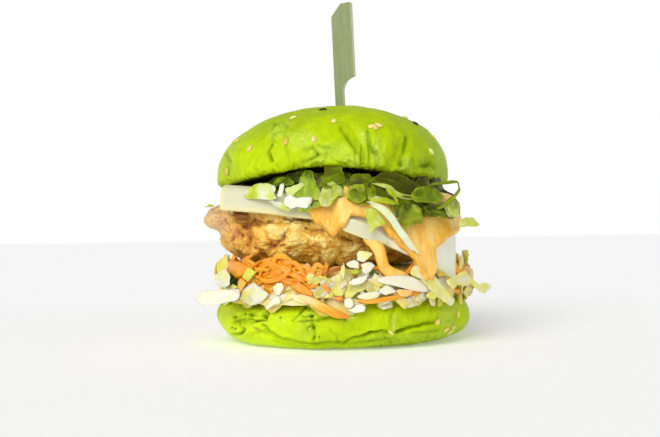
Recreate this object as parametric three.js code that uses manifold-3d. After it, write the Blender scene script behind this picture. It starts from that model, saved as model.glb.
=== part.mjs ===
// A chicken burger in a green sesame bun, held by a flat bamboo pick.
// From the bottom up: bun heel, slaw, fried chicken, two cheese slices, sauce, shredded lettuce, bun crown.
// Millimetres, +Z up, the front of the burger faces -Y, and the origin is the middle of the heel's flat base.
import * as THREE from "three";
import { mergeVertices } from "three/addons/utils/BufferGeometryUtils.js";
import Module from "manifold-3d";

const wasm = await Module();
wasm.setup();

// Driving dimensions.
const GAP = 0.42; // left between neighbours
const STAND = 4.4; // height of the heel's underside before every piece is lowered on to Z = 0
const HEEL = { radius: 57.6, foot: 42.5, waist: 15.8, edge: 24.3, shoulder: 9, dip: 2.6 };
const CROWN = {
  radius: 53.4, x: -4.5, cut: 75, lift: 5, hollow: 78.9, lip: 3.4, lipIn: 4.2, top: 111, lean: 3.8, full: 0.92,
};
const CHICKEN = { x: -3, low: 38.4, belly: 52, rest: 66, slope: -0.1 };
const SLICE = { thick: 2, bend: 4, steep: 82 };
const SAUCE = { thick: 3.2, from: -107, to: -27, inner: 38 };
const PICK = { length: 150, top: 160.4, blade: 34.5, wide: 10, neck: 4, thick: 3, turn: 24, lean: -1.9, x: 0.8 };
const SEED = { length: 3.3, width: 2, thick: 1.3 };
const SLAW = { radius: 56 };
const LETTUCE = { x: 3 };
const STALK = { length: 7, wide: 0.9 };

const DEG = Math.PI / 180;
const clamp = (x) => Math.min(1, Math.max(0, x));
const lerp = (a, b, t) => a + (b - a) * t;
const smooth = (a, b, x) => {
  const t = clamp((x - a) / (b - a));
  return t * t * (3 - 2 * t);
};
const bell = (x, width) => Math.exp(-((x / width) ** 2));
const turnFrom = (a, b) => ((((a - b) % 360) + 540) % 360) - 180; // degrees, -180 to 180

// Smooth value noise from -1 to 1, the same at every run.
function corner(i, j, k) {
  const s = Math.sin(i * 127.1 + j * 311.7 + k * 74.7) * 43758.5453;
  return s - Math.floor(s);
}

function noise(x, y, z) {
  const [i, j, k] = [Math.floor(x), Math.floor(y), Math.floor(z)];
  const [u, v, w] = [smooth(0, 1, x - i), smooth(0, 1, y - j), smooth(0, 1, z - k)];
  const edge = (b, c) => lerp(corner(i, j + b, k + c), corner(i + 1, j + b, k + c), u);
  const low = lerp(edge(0, 0), edge(1, 0), v);
  const high = lerp(edge(0, 1), edge(1, 1), v);
  return 2 * lerp(low, high, w) - 1;
}

// A seeded random draw from 0 to 1.
function dice(seed) {
  let a = seed;
  return () => {
    a = (a + 0x6d2b79f5) | 0;
    let t = Math.imul(a ^ (a >>> 15), 1 | a);
    t = (t + Math.imul(t ^ (t >>> 7), 61 | t)) ^ t;
    return ((t ^ (t >>> 14)) >>> 0) / 4294967296;
  };
}

// Closed meshes
function closed(points, faces) {
  const geometry = new THREE.BufferGeometry().setFromPoints(points);
  geometry.setIndex(faces);
  return geometry;
}

// A closed skin round the vertical axis. place(turn, climb) gives its points, from the middle of the underside
// to the middle of the top.
function skin(place, turns, climbs) {
  const rings = climbs.length - 2;
  const at = (ring, turn) => 1 + ring * turns + (turn % turns);
  const points = [place(0, climbs[0])];
  for (let i = 1; i <= rings; i++)
    for (let j = 0; j < turns; j++) points.push(place((j / turns) * 2 * Math.PI, climbs[i]));
  const last = points.push(place(0, climbs.at(-1))) - 1;
  const faces = [];
  for (let j = 0; j < turns; j++) {
    faces.push(0, at(0, j + 1), at(0, j), at(rings - 1, j), at(rings - 1, j + 1), last);
    for (let i = 0; i < rings - 1; i++) {
      faces.push(at(i, j), at(i, j + 1), at(i + 1, j + 1));
      faces.push(at(i, j), at(i + 1, j + 1), at(i + 1, j));
    }
  }
  return closed(points, faces);
}

// A thin sheet: place(s, t) is its middle, with s and t from -0.5 to 0.5, and both faces are split alike.
function sheet(place, thick, along, across) {
  const grid = (i, j) => place(i / along - 0.5, j / across - 0.5);
  const h = 0.01;
  const points = [];
  for (const side of [1, -1])
    for (let i = 0; i <= along; i++)
      for (let j = 0; j <= across; j++) {
        const [s, t] = [i / along - 0.5, j / across - 0.5];
        const ds = place(s + h, t).sub(place(s - h, t));
        const dt = place(s, t + h).sub(place(s, t - h));
        const half = typeof thick === "function" ? thick(s, t) / 2 : thick / 2;
        points.push(grid(i, j).addScaledVector(ds.cross(dt).normalize(), side * half));
      }
  const row = across + 1;
  const back = (along + 1) * row;
  const faces = [];
  for (let i = 0; i < along; i++)
    for (let j = 0; j < across; j++) {
      const [a, b, c, d] = [i * row + j, (i + 1) * row + j, (i + 1) * row + j + 1, i * row + j + 1];
      faces.push(a, b, c, a, c, d);
      faces.push(back + a, back + c, back + b, back + a, back + d, back + c);
    }
  const wall = (p, q) => faces.push(p, back + p, back + q, p, back + q, q);
  for (let i = 0; i < along; i++) {
    wall(i * row, (i + 1) * row);
    wall((i + 1) * row + across, i * row + across);
  }
  for (let j = 0; j < across; j++) {
    wall(j + 1, j);
    wall(along * row + j, along * row + j + 1);
  }
  return closed(points, faces);
}

// The same mesh with its surface moved out by an amount.
function grown(geometry, amount) {
  const g = geometry.clone();
  g.computeVertexNormals();
  const [p, n] = [g.attributes.position, g.attributes.normal];
  for (let i = 0; i < p.count; i++)
    p.setXYZ(i, p.getX(i) + n.getX(i) * amount, p.getY(i) + n.getY(i) * amount, p.getZ(i) + n.getZ(i) * amount);
  return g;
}

// Joining and cutting
function solid(geometry, near = 1e-4) {
  const bare = new THREE.BufferGeometry().setAttribute("position", geometry.attributes.position);
  if (geometry.index) bare.setIndex(geometry.index);
  const merged = mergeVertices(bare, near);
  const { array } = merged.attributes.position;
  const triVerts = new Uint32Array(merged.index.array);
  return new wasm.Manifold(new wasm.Mesh({ numProp: 3, vertProperties: array, triVerts }));
}

const cut = (body, ...tools) => tools.reduce((left, tool) => left.subtract(tool), body);
const join = (bodies) => bodies.reduce((all, next) => all.add(next));

function meshOf(body) {
  const { vertProperties, triVerts } = body.getMesh();
  const geometry = new THREE.BufferGeometry();
  geometry.setAttribute("position", new THREE.BufferAttribute(vertProperties, 3));
  geometry.setIndex(new THREE.BufferAttribute(triVerts, 1));
  return geometry;
}

// The largest body, without the scraps that a cut leaves, the slivers along its edges and sealed hollows.
function largest(body, tolerance = 0.02) {
  const biggest = (parts) => parts.reduce((a, b) => (b.volume() > a.volume() ? b : a));
  const outer = biggest(body.simplify(tolerance).decompose());
  return biggest(solid(meshOf(outer), 1e-3).decompose());
}

const group = new THREE.Group();
function addNode(name, body, colour, roughness) {
  const geometry = meshOf(body).translate(0, 0, -STAND);
  geometry.computeVertexNormals();
  const material = new THREE.MeshStandardMaterial({ color: colour, roughness, metalness: 0 });
  const mesh = new THREE.Mesh(geometry, material);
  mesh.name = name;
  group.add(mesh);
}

// Folds in the bun's skin: azimuth, height, width, tall, depth, slant in degrees for each millimetre up.
const CROWN_FOLDS = [
  [-58, 86, 3.2, 8, 2.2, 0.5],
  [-78, 93, 5.5, 8, 2.4, -0.9],
  [-88, 88, 3.6, 7, 1.6, 1.2],
  [-69, 87, 3, 7, 1.3, 0.4],
  [-121, 88, 2.8, 7, 1.4, -0.6],
  [-38, 83, 3, 5, 1.3, 0],
  [20, 88, 5, 9, 1.6, 0.6],
  [75, 90, 4, 9, 1.5, -0.5],
  [140, 87, 4.5, 8, 1.6, 0.5],
];
const HEEL_FOLDS = [
  [-139, 16, 6, 4, 3.2, 1],
  [-126, 10, 4, 5, 2.6, -2],
  [-103, 15, 3.5, 6, 1.8, 1],
  [-82, 12, 3, 7, 1, 0],
  [-28, 14, 5, 6, 1.4, 0],
  [35, 13, 4, 6, 1.8, 1],
  [110, 14, 5, 6, 2, -1],
  [165, 12, 4, 6, 1.6, 0],
];

function foldDepth(folds, azimuth, z, radius) {
  let depth = 0;
  for (const [at, height, width, tall, deep, slant] of folds) {
    const across = turnFrom(azimuth, at + slant * (z - height)) * DEG * radius;
    depth += deep * bell(across, width) * bell(z - height, tall);
  }
  return depth;
}

// Bun crown
const crownCut = (azimuth) =>
  CROWN.cut + CROWN.lift * bell(turnFrom(azimuth, -95), 40) + 0.5 * Math.sin(3 * azimuth * DEG);
const CUT_END = -0.25;

function crownPoint(theta, climb) {
  const azimuth = theta / DEG;
  const wide = CROWN.radius + 0.7 * Math.sin(2 * theta + 0.6) + 0.5 * Math.sin(5 * theta);
  const low = crownCut(azimuth);
  const seam = low + CROWN.lip;
  let [r, z, face] = [0, 0, 0];
  if (climb <= CUT_END) {
    const f = (climb + 1) / (CUT_END + 1);
    r = f * (wide - CROWN.lipIn);
    z = lerp(CROWN.hollow, low, f * f);
  } else if (climb < 0) {
    const b = (climb / CUT_END) * 90 * DEG;
    r = wide - CROWN.lipIn * (1 - Math.cos(b));
    z = seam - CROWN.lip * Math.sin(b);
  } else {
    face = climb * 90 * DEG;
    r = wide * Math.max(0, Math.cos(face)) ** CROWN.full;
    z = seam + (CROWN.top - seam) * Math.sin(face) ** 0.89;
  }
  const rise = clamp((z - seam) / (CROWN.top - seam));
  const skinSide = smooth(-0.2, 0.06, climb) * smooth(0, 12, r);
  const lumps = 0.7 * noise(r * Math.cos(theta) / 15 + 7, r * Math.sin(theta) / 15, z / 15);
  const move = skinSide * (lumps - foldDepth(CROWN_FOLDS, azimuth, z, CROWN.radius));
  r += move * Math.cos(face);
  z += move * Math.sin(face);
  return new THREE.Vector3(CROWN.x + CROWN.lean * rise * rise + r * Math.cos(theta), r * Math.sin(theta), z);
}

// Bun heel
const heelEdge = (azimuth) =>
  HEEL.edge + 1.2 * bell(turnFrom(azimuth, -60), 30) - 1.6 * bell(turnFrom(azimuth, -130), 30);

function heelPoint(theta, climb) {
  const azimuth = theta / DEG;
  const aside = Math.cos(theta);
  const wide = HEEL.radius + 0.8 * Math.sin(2 * theta + 2.2) + 0.5 * Math.sin(3 * theta + 1) - 0.9 * aside;
  const edge = heelEdge(azimuth);
  const foot = HEEL.foot + 1.2 * Math.sin(2 * theta + 1) - 1.5 * aside;
  let [r, z, outward] = [0, STAND, 0];
  if (climb < -0.6) {
    r = ((climb + 1) / 0.4) * foot;
  } else if (climb < 0) {
    const a = (climb / 0.6) * 90 * DEG;
    r = lerp(foot, wide, Math.cos(a));
    z = lerp(STAND, HEEL.waist, 1 + Math.sin(a));
    outward = Math.cos(a);
  } else if (climb < 0.5) {
    const a = (climb / 0.5) * 90 * DEG;
    r = wide - HEEL.shoulder * (1 - Math.cos(a));
    z = HEEL.waist + (edge - HEEL.waist) * Math.sin(a);
    outward = Math.cos(a);
  } else {
    const f = (1 - climb) / 0.5;
    r = f * (wide - HEEL.shoulder);
    z = lerp(HEEL.edge - HEEL.dip, edge, f * f);
  }
  const lumps = 0.9 * noise(r * Math.cos(theta) / 13, r * Math.sin(theta) / 13, z / 9 + 3);
  const crease = 1.5 * bell(z - lerp(7, 15.5, smooth(-92, -48, azimuth > 180 ? azimuth - 360 : azimuth)), 1.9);
  const creased = crease * smooth(-130, -112, turnFrom(azimuth, 0)) * (1 - smooth(-40, -20, turnFrom(azimuth, 0)));
  r += outward * (lumps - creased - foldDepth(HEEL_FOLDS, azimuth, z, HEEL.radius));
  return new THREE.Vector3(r * Math.cos(theta), r * Math.sin(theta), z);
}

// Fried chicken: a slab that is thick on the left and thin on the right, with crags of crust.
const restPlane = (x) => CHICKEN.rest + CHICKEN.slope * x; // what the cheese lies on

function chickenWide(azimuth) {
  const away = (at, width) => bell(turnFrom(azimuth, at), width);
  return 52 + 4.5 * away(180, 45) - 4.6 * away(-62, 34) - 1.6 * away(-112, 26) - 1.5 * away(90, 40) + 1.2 * away(-8, 20);
}

function crags(x, y, z) {
  const coarse = 1.7 * noise(x / 11 + 3, y / 11, z / 9);
  const ridges = 1.9 * (0.45 - Math.abs(noise(x / 6.5, y / 6.5 + 9, z / 5)));
  return coarse + ridges;
}

function chickenPoint(theta, climb) {
  const azimuth = theta / DEG;
  const wide = chickenWide(azimuth);
  const a = climb * 90 * DEG;
  const r = wide * Math.max(0, Math.cos(a)) ** (climb > 0 ? 0.36 : 0.62);
  const [c, s] = [Math.cos(theta), Math.sin(theta)];
  const top = restPlane(CHICKEN.x + r * c);
  const height = climb > 0 ? top - CHICKEN.belly : CHICKEN.belly - CHICKEN.low;
  let z = CHICKEN.belly + height * Math.sign(climb) * Math.abs(Math.sin(a)) ** (climb > 0 ? 0.8 : 0.9);
  const side = smooth(0.62, 0.93, r / wide);
  const lobe = 7.5 * bell(turnFrom(azimuth, -168), 12) * bell(z - 62, 6);
  const ledge = 1.8 * bell(z - 57.5, 2.2) * bell(turnFrom(azimuth, -138), 16);
  const move = side * (crags(r * c, r * s, z) + lobe - ledge) - 0.6;
  z -= climb < 0 ? 0.4 * side * Math.abs(crags(r * s, r * c, 5)) * clamp(-climb) : 0;
  return new THREE.Vector3(CHICKEN.x + (r + move) * c, (r + move) * s, z);
}

// Cheese: a slice is a rectangle, s along the fold and t past it, laid over the chicken's shoulder.
function overShoulder(t) {
  const bendEnd = SLICE.bend * SLICE.steep * DEG;
  if (t < 0) return [t, 0];
  if (t < bendEnd) return [SLICE.bend * Math.sin(t / SLICE.bend), SLICE.bend * (1 - Math.cos(t / SLICE.bend))];
  const [out, down] = [SLICE.bend * Math.sin(SLICE.steep * DEG), SLICE.bend * (1 - Math.cos(SLICE.steep * DEG))];
  const rest = t - bendEnd;
  return [out + rest * Math.cos(SLICE.steep * DEG), down + rest * Math.sin(SLICE.steep * DEG)];
}

// facing is the azimuth that the fold faces, radius its distance from the axis, wrap how far it follows a circle,
// and rise how much higher its left end lies.
function slicePoint({ facing, radius, wrap, lift, rise, corner, turn, wide, deep, wave }, s, t) {
  const [c, q] = [Math.cos(turn * DEG), Math.sin(turn * DEG)];
  const [p, d] = [(s - 0.5) * wide, (t - 0.5) * deep];
  const along = corner[0] + p * c - d * q;
  const past = corner[1] + p * q + d * c;
  const [out, down] = overShoulder(past);
  const reach = radius - SLICE.bend + out;
  const spin = wrap * smooth(-20, 0, past) * (along / radius);
  const straight = along - spin * radius;
  const angle = facing * DEG + spin;
  const x = reach * Math.cos(angle) - straight * Math.sin(angle);
  const y = reach * Math.sin(angle) + straight * Math.cos(angle);
  const ripple = wave * Math.sin(along / 9 + 1) * clamp(past / 12);
  const swell = 1 + ripple / radius;
  const base = restPlane(x) + lift + rise * smooth(14, 36, -x);
  return new THREE.Vector3(x * swell, y * swell, base + SLICE.thick / 2 - down);
}

const LEFT_SLICE = {
  facing: -115, radius: 53, wrap: 0, lift: 0.9, rise: 0.8, corner: [12, 12.8], turn: 0, wide: 46, deep: 62, wave: 0.3,
};
const RIGHT_SLICE = {
  facing: -62, radius: 53, wrap: 1, lift: 3, rise: 0, corner: [26.5, 36.5], turn: 20, wide: 62, deep: 46, wave: 0.5,
};

// Sauce: a sheet that lies on the slices and runs down the front in drips.
const SAUCE_EDGE = [
  [-107, 64], [-101, 56.5], [-95, 51.5], [-91, 55], [-87, 60], [-81, 59], [-76, 55.5], [-71, 50.5],
  [-65, 43], [-60, 33], [-56, 28.5], [-53, 30], [-50, 43], [-46, 47.5], [-40, 50.5], [-34, 52], [-27, 58],
];
const SAUCE_REACH = [[-107, 56.5], [-97, 53.2], [-91, 55.6], [-60, 55.4], [-27, 56.2]];

// The value at x of a smooth line through a few points.
function through(points, x) {
  for (let i = 1; i < points.length; i++)
    if (x <= points[i][0]) {
      const t = (x - points[i - 1][0]) / (points[i][0] - points[i - 1][0]);
      return lerp(points[i - 1][1], points[i][1], smooth(0, 1, t));
    }
  return points.at(-1)[1];
}

function saucePoint(s, t) {
  const azimuth = lerp(SAUCE.from, SAUCE.to, clamp(s + 0.5));
  const reach = through(SAUCE_REACH, azimuth);
  const [c, q] = [Math.cos(azimuth * DEG), Math.sin(azimuth * DEG)];
  const top = restPlane(reach * c) + 6.6;
  const fall = top - through(SAUCE_EDGE, azimuth) + 2.5;
  const length = reach - SAUCE.inner + fall;
  const past = (t + 0.5) * length - (reach - SAUCE.inner);
  const [out, down] = overShoulder(past);
  const r = reach - SLICE.bend + out;
  return new THREE.Vector3(r * c, r * q, restPlane(r * c) + 6.6 - down);
}

function sauceThick(s, t) {
  const ends = Math.sqrt(clamp((0.5 - Math.abs(s)) * 14)) * Math.sqrt(clamp((0.5 - t) * 9));
  return SAUCE.thick * (0.45 + 0.55 * ends);
}

// Strips: cabbage, carrot and lettuce are cut in strips, each laid along a path of [x, z, reach from the axis].
function pathPoint([x, z, reach]) {
  return new THREE.Vector3(x, -Math.sqrt(reach * reach - x * x), z);
}

// A strip's middle sheet at s along it and t across it. It lies flat against the burger unless it is rolled.
function stripPoint({ curve, width, roll = 0, wave = 0 }, s, t) {
  const u = clamp(s + 0.5);
  const at = curve.getPoint(u);
  const along = curve.getTangent(u);
  const out = new THREE.Vector3(at.x, at.y, 0).normalize();
  const across = out.clone().cross(along).normalize();
  const normal = along.clone().cross(across);
  across.applyAxisAngle(along, roll * DEG);
  const wide = width * (1 - 0.35 * (2 * Math.abs(s)) ** 3);
  const ruffle = wave * Math.sin(2.2 * Math.PI * u + 1) * 2 * t;
  return at.addScaledVector(across, wide * t).addScaledVector(normal, ruffle);
}

function strip({ curve, thick, joints, ...rest }) {
  return sheet((s, t) => stripPoint({ curve, ...rest }, s, t), thick, joints, 1);
}

// A spike that ties a strip to the mass behind it.
function stalk(at) {
  const [w, l] = [STALK.wide, STALK.length];
  const corners = [[0.2, -w, -w], [0.2, w, -w], [0.2, 0, w], [-l, 0, 0]].map((c) => new THREE.Vector3(...c));
  const spike = closed(corners, [0, 1, 2, 0, 3, 1, 1, 3, 2, 2, 3, 0]);
  return spike.rotateZ(Math.atan2(at.y, at.x)).translate(at.x, at.y, at.z);
}

// Rows are width, thickness, then the path. The stalk is at the path's best point.
const fromTable = (rows, wave, best) =>
  rows.flatMap(([width, thick, ...path]) => {
    const points = path.map(pathPoint);
    const curve = new THREE.CatmullRomCurve3(points);
    const joints = path.length < 4 ? 2 : path.length;
    const tied = points.reduce((a, b) => (best(b) > best(a) ? b : a));
    return [strip({ curve, width, thick, wave, joints }), stalk(tied)];
  });
const inmost = (point) => -Math.hypot(point.x, point.y);
const highest = (point) => point.z;

// What shows at the front of the slaw.
const SLAW_FRONT = [
  [5.6, 1.2, [-53.5, 29.2, 60], [-55.4, 33.6, 61], [-52.5, 37.7, 61]],
  [6, 2.8, [-68.8, 25.5, 69.5], [-56.5, 26.1, 65], [-44.7, 26.7, 58.5]],
  [2.6, 1.4, [-49.6, 36, 60], [-47.4, 32.6, 59], [-45.2, 29.7, 58]],
  [4.8, 1.8, [-51.1, 39.7, 58], [-45.2, 38.6, 57], [-40.1, 37.8, 56]],
  [4.6, 3, [-43.7, 34, 57.5], [-39, 38.4, 57.5]],
  [3, 2.2, [-36.8, 35, 57], [-33.2, 33.5, 58], [-27.6, 34.4, 58], [-23.7, 37.3, 57.5], [-22.1, 40.1, 56]],
  [2.8, 2.2, [-30.3, 42.5, 54], [-24.6, 41.7, 55], [-20, 40.5, 56], [-17.5, 36.9, 57], [-15.1, 32.8, 57.5]],
  [2.8, 2.2, [-30.7, 30.9, 56.5], [-25.5, 33.5, 57], [-20.1, 34, 57]],
  [2.8, 2.2, [-35.1, 38.8, 56], [-30.6, 40.5, 56], [-25.5, 38.9, 56.5]],
  [5.4, 1.5, [-43.8, 25, 58], [-38.5, 30.9, 58.5], [-34.5, 32.2, 58]],
  [6, 1.6, [-39.5, 24.1, 59], [-34.9, 29, 59.5], [-31, 29.8, 58.5]],
  [3.8, 1.6, [-29.3, 32.3, 58], [-26.8, 29.9, 58.5], [-25.1, 26.6, 58.5]],
  [3.4, 1.8, [-34.2, 23.1, 59], [-30.2, 26.2, 59], [-25.5, 27, 58.5]],
  [2.4, 1.4, [-26.4, 24.6, 59], [-22.6, 27.5, 59], [-18.5, 25.9, 59], [-15.2, 24.7, 59]],
  [3.8, 1.8, [-22.5, 32.8, 58], [-17.6, 30, 58.5], [-13.5, 28, 58.5]],
  [3.6, 2, [-20.1, 28, 59], [-14.3, 25.6, 59.5], [-8.7, 22.8, 60.2], [-3.9, 20.4, 60.6], [1.3, 19.1, 60.2]],
  [2.6, 1.6, [-13.1, 28, 58.5], [-9, 31.2, 58.5], [-6.5, 34.8, 58]],
  [3, 1.6, [-10.3, 25.2, 59.5], [-7, 28.4, 59.5], [-4.2, 25.6, 59.5]],
  [2.8, 2, [-10.2, 34, 57.5], [-7.8, 31.6, 58], [-5.4, 28.7, 58.5]],
  [5, 1.6, [-6.5, 32, 58], [-3.2, 35.2, 58], [1.7, 35.9, 57.5]],
  [4.6, 1.6, [3.9, 45.6, 57.5], [7.5, 44.7, 58], [11.6, 43.4, 58]],
  [3.2, 2, [0.1, 40.4, 57.5], [3, 41.2, 58], [5.8, 39.5, 58]],
  [3.8, 2, [5.8, 41.1, 58], [8.6, 39.5, 58.5], [11.9, 39.4, 58.5]],
  [3.2, 2, [7.8, 37.4, 58.5], [7.3, 34.2, 59], [4.4, 32.3, 59], [1.2, 33.1, 58.5]],
  [3.2, 1.4, [8.1, 33.4, 58], [9.3, 30.9, 58.5], [10.9, 28.4, 58.5]],
  [3.4, 2.2, [0.7, 27.9, 59], [1.4, 23.9, 59.8]],
  [3, 2.2, [0.6, 22.3, 60], [4.2, 22.6, 60], [7.9, 24.5, 59.5]],
  [3.6, 2.4, [4.3, 27, 59], [8.8, 27.7, 59.2], [14.2, 28, 59]],
  [4.2, 2.4, [13.4, 29.6, 58.5], [17.1, 31.1, 58.8], [20.9, 28.9, 58.5]],
  [5.2, 2.8, [11.1, 34, 57], [18.1, 34.7, 57.8], [24.4, 33.7, 58.2], [29.9, 31.8, 58.4], [35.2, 29.4, 58.6]],
  [2.2, 1.6, [20.9, 28.9, 58], [28.6, 27.7, 58], [35.7, 28.5, 58]],
  [4.8, 1.2, [27, 36, 58], [30.3, 40.1, 60]],
  [6.4, 1.5, [30.7, 36.8, 60], [35.8, 32.9, 61.5], [41, 27.7, 62.4], [45.7, 21.8, 62.4]],
  [
    3.8, 1.2, [40, 34.4, 61], [43.6, 31.4, 64], [47.1, 33.8, 66], [49.1, 35.9, 68],
    [51.6, 32.9, 69.5], [54.3, 29, 70.5], [58.7, 27, 71.5], [62.8, 29.3, 73],
  ],
];

// What shows at the front of the lettuce.
const LETTUCE_FRONT = [
  [5.4, 1.1, [-43.7, 70, 57], [-37.4, 72.1, 58], [-32.1, 71.8, 58.5], [-28.3, 69.1, 58.5]],
  [3.6, 1.1, [-31.7, 68.8, 59], [-27.8, 65.8, 59.5], [-23.2, 62.8, 60]],
  [4.2, 1.6, [-26.1, 64.9, 59.5], [-20.7, 66.8, 60], [-13.3, 67.8, 60]],
  [2.8, 1.2, [-27.8, 68.3, 59], [-26.5, 73.7, 57.5]],
  [4.5, 1.1, [-30.7, 74.1, 53], [-25.5, 76.8, 53], [-20, 74.1, 53]],
  [4, 1.1, [-24.1, 71.1, 57], [-20.3, 72.7, 56], [-16.2, 73.4, 55]],
  [4.6, 1.2, [-16.6, 78.5, 53], [-14.5, 76.2, 55], [-11.6, 71.9, 57.5], [-10.4, 67, 59]],
  [9, 1.1, [-4.5, 80.4, 50], [-4.2, 76.6, 51.5], [-3.4, 73.2, 53]],
  [4.6, 1.2, [-1.8, 73.5, 55.5], [-5.1, 69.3, 58], [-8.4, 64.1, 60]],
  [5, 1.1, [1.9, 73.1, 53], [5.7, 75.6, 52], [11.2, 76.4, 51.5]],
  [5.6, 1.1, [8.6, 74.7, 53], [10, 70.4, 56.5], [11.9, 66.6, 59]],
  [6, 1.1, [2.3, 71.3, 56], [5.4, 68.8, 58], [7.8, 65.8, 59.5]],
  [3.2, 1.1, [8.6, 67.4, 60], [14.3, 66.2, 60], [21.4, 64.5, 59.5]],
  [
    3.2, 1.8, [9.7, 64.9, 61.5], [14.9, 62.5, 62], [18.6, 58.8, 61.5], [21.5, 54.3, 61.5],
    [24.7, 49.8, 61.8], [28.6, 44.7, 61],
  ],
  [6.4, 1.1, [10.1, 62.1, 61], [14.1, 59.2, 62], [12.4, 55.6, 61.5], [9.6, 53.3, 61]],
  [4.6, 1.1, [20, 60.8, 60], [24.7, 63.7, 60], [30.2, 63.6, 60.5], [32.6, 58.7, 62]],
  [4, 1.1, [21.9, 58.3, 62], [26.9, 55, 62.5], [32.4, 56.6, 63]],
  [6.5, 1.1, [11.6, 75.6, 51], [21.2, 74.7, 52.5], [29.3, 72.2, 54], [36.2, 70.1, 57]],
  [2.2, 1.4, [11.7, 73.3, 56], [17.4, 71.6, 57.5], [23.2, 67.8, 58.5], [30.5, 67.4, 59], [37.7, 69.2, 59]],
  [
    2.6, 1.2, [33.6, 70.5, 56], [37.3, 72.9, 59], [42.6, 73.4, 61], [48, 73.9, 63],
    [48.6, 71.2, 64.5], [45.5, 67.3, 65], [41.4, 64, 64], [35.4, 61.1, 61],
  ],
  [5, 1.2, [43.2, 65.3, 62], [47.1, 65.7, 64], [48.2, 61.9, 65.5], [47, 58.1, 66]],
  [3.4, 1.2, [46.5, 58.1, 66], [52, 57.6, 68], [58, 55.5, 69]],
];

// The rest of the way round, by a seeded draw: each kind keeps its own range of sizes.
function scatter(count, seed, [from, to], make) {
  const draw = dice(seed);
  const between = (a, b) => lerp(a, b, draw());
  const strips = [];
  for (let i = 0; i < count; i++) {
    const middle = lerp(from, to, (i + 0.8 * draw()) / count) * DEG;
    const { z, reach, heading, length, ends, ...rest } = make(between, i);
    const path = [-1, 0, 1].map((end) => {
      const angle = middle + (end * length * Math.cos(heading * DEG)) / 2 / reach;
      const far = reach - ends * Math.abs(end);
      const up = z + (end * length * Math.sin(heading * DEG)) / 2;
      return new THREE.Vector3(far * Math.cos(angle), far * Math.sin(angle), up);
    });
    strips.push(strip({ curve: new THREE.CatmullRomCurve3(path), joints: 3, ...rest }));
  }
  return strips;
}

const slawRound = scatter(11, 11, [-26, 204], (between, i) => ({
  z: between(27, 36),
  reach: between(54, 57.5),
  heading: between(-48, 48),
  length: between(14, 24),
  ends: between(0, 4),
  width: i % 3 === 0 ? 3 : between(4.5, 7),
  thick: i % 3 === 0 ? 2.2 : between(1.6, 2.6),
  wave: between(0, 0.8),
}));

const lettuceRound = scatter(8, 5, [-24, 222], (between) => ({
  z: between(70.5, 74.5),
  reach: between(49.5, 53.5),
  heading: between(-40, 40),
  length: between(16, 28),
  ends: between(0, 5),
  width: between(5, 8),
  thick: 1.1,
  roll: between(-15, 30),
  wave: between(0.2, 1),
}));

// The inner mass of each heap
const SLAW_ROWS = [[0, 22.6], [40, 24.4], [54.5, 26.2], [56, 30], [54.5, 35], [46, 37.3], [0, 37.3]];
function slawCorePoint(theta, climb) {
  const [r, z] = SLAW_ROWS[climb];
  const wide = 1 + (0.9 * Math.sin(5 * theta) + 0.7 * Math.sin(9 * theta + 1)) / SLAW.radius;
  return new THREE.Vector3(r * wide * Math.cos(theta), r * wide * Math.sin(theta), z);
}

// The lettuce lies between the cheese and the crown, and hangs outside the sauce at the front.
// Rows are a radius and a height, or a height over the plane that the cheese rests on where it is small.
const LETTUCE_INSIDE = [
  [0, 5.8], [30, 3.4], [38, 3.4], [41, 3.6], [42.4, 3.9], [43, 4.3], [43, 5], [38, 74.6], [0, 78],
];
const LETTUCE_HANG = [
  [0, 5.8], [36, 8.8], [53, 8.6], [58.2, 70.2], [58.2, 64.5], [59.8, 64.5], [60, 69], [50, 74], [0, 78],
];
function lettuceCorePoint(theta, climb) {
  const azimuth = turnFrom(theta / DEG, 0);
  const hang = smooth(-112, -106, azimuth) * (1 - smooth(-26, -14, azimuth));
  const lift = crownCut(azimuth) - CROWN.cut;
  const place = ([r, z]) => {
    const [x, y] = [LETTUCE.x * (1 - hang) + r * Math.cos(theta), r * Math.sin(theta)];
    return new THREE.Vector3(r ? x : 0, y, z > 20 ? z : restPlane(x) + z);
  };
  const point = place(LETTUCE_INSIDE[climb]).lerp(place(LETTUCE_HANG[climb]), hang);
  if (climb === 7) point.z += hang * lift * 0.9;
  return point;
}

// A sesame seed: a drop that is flat underneath, pointed at one end.
const SEED_TURNS = 5;
function seed(length, width, thick) {
  return skin(
    (theta, climb) => {
      const r = Math.sqrt(1 - climb * climb);
      const pinch = 1 - 0.35 * Math.cos(theta) * r;
      const [x, y] = [length * r * Math.cos(theta), width * pinch * r * Math.sin(theta)];
      return new THREE.Vector3(0.5 * x, 0.5 * y, 0.5 * thick * climb);
    },
    SEED_TURNS,
    [-1, 0.1, 1],
  );
}

// Sets seeds on a skin at azimuth and climb, each turned its own way.
function seeds(place, spots) {
  return spots.map(([azimuth, climb, spin]) => {
    const h = 0.02;
    const at = place(azimuth * DEG, climb);
    const east = place(azimuth * DEG + h, climb).sub(place(azimuth * DEG - h, climb));
    const north = place(azimuth * DEG, climb + h).sub(place(azimuth * DEG, climb - h));
    const up = east.clone().cross(north).normalize();
    const frame = new THREE.Matrix4().makeBasis(east.normalize(), up.clone().cross(east), up);
    frame.multiply(new THREE.Matrix4().makeRotationZ(spin * DEG));
    frame.setPosition(at.addScaledVector(up, 0.12 * SEED.thick));
    return solid(seed(SEED.length, SEED.width, SEED.thick).applyMatrix4(frame));
  });
}

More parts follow.
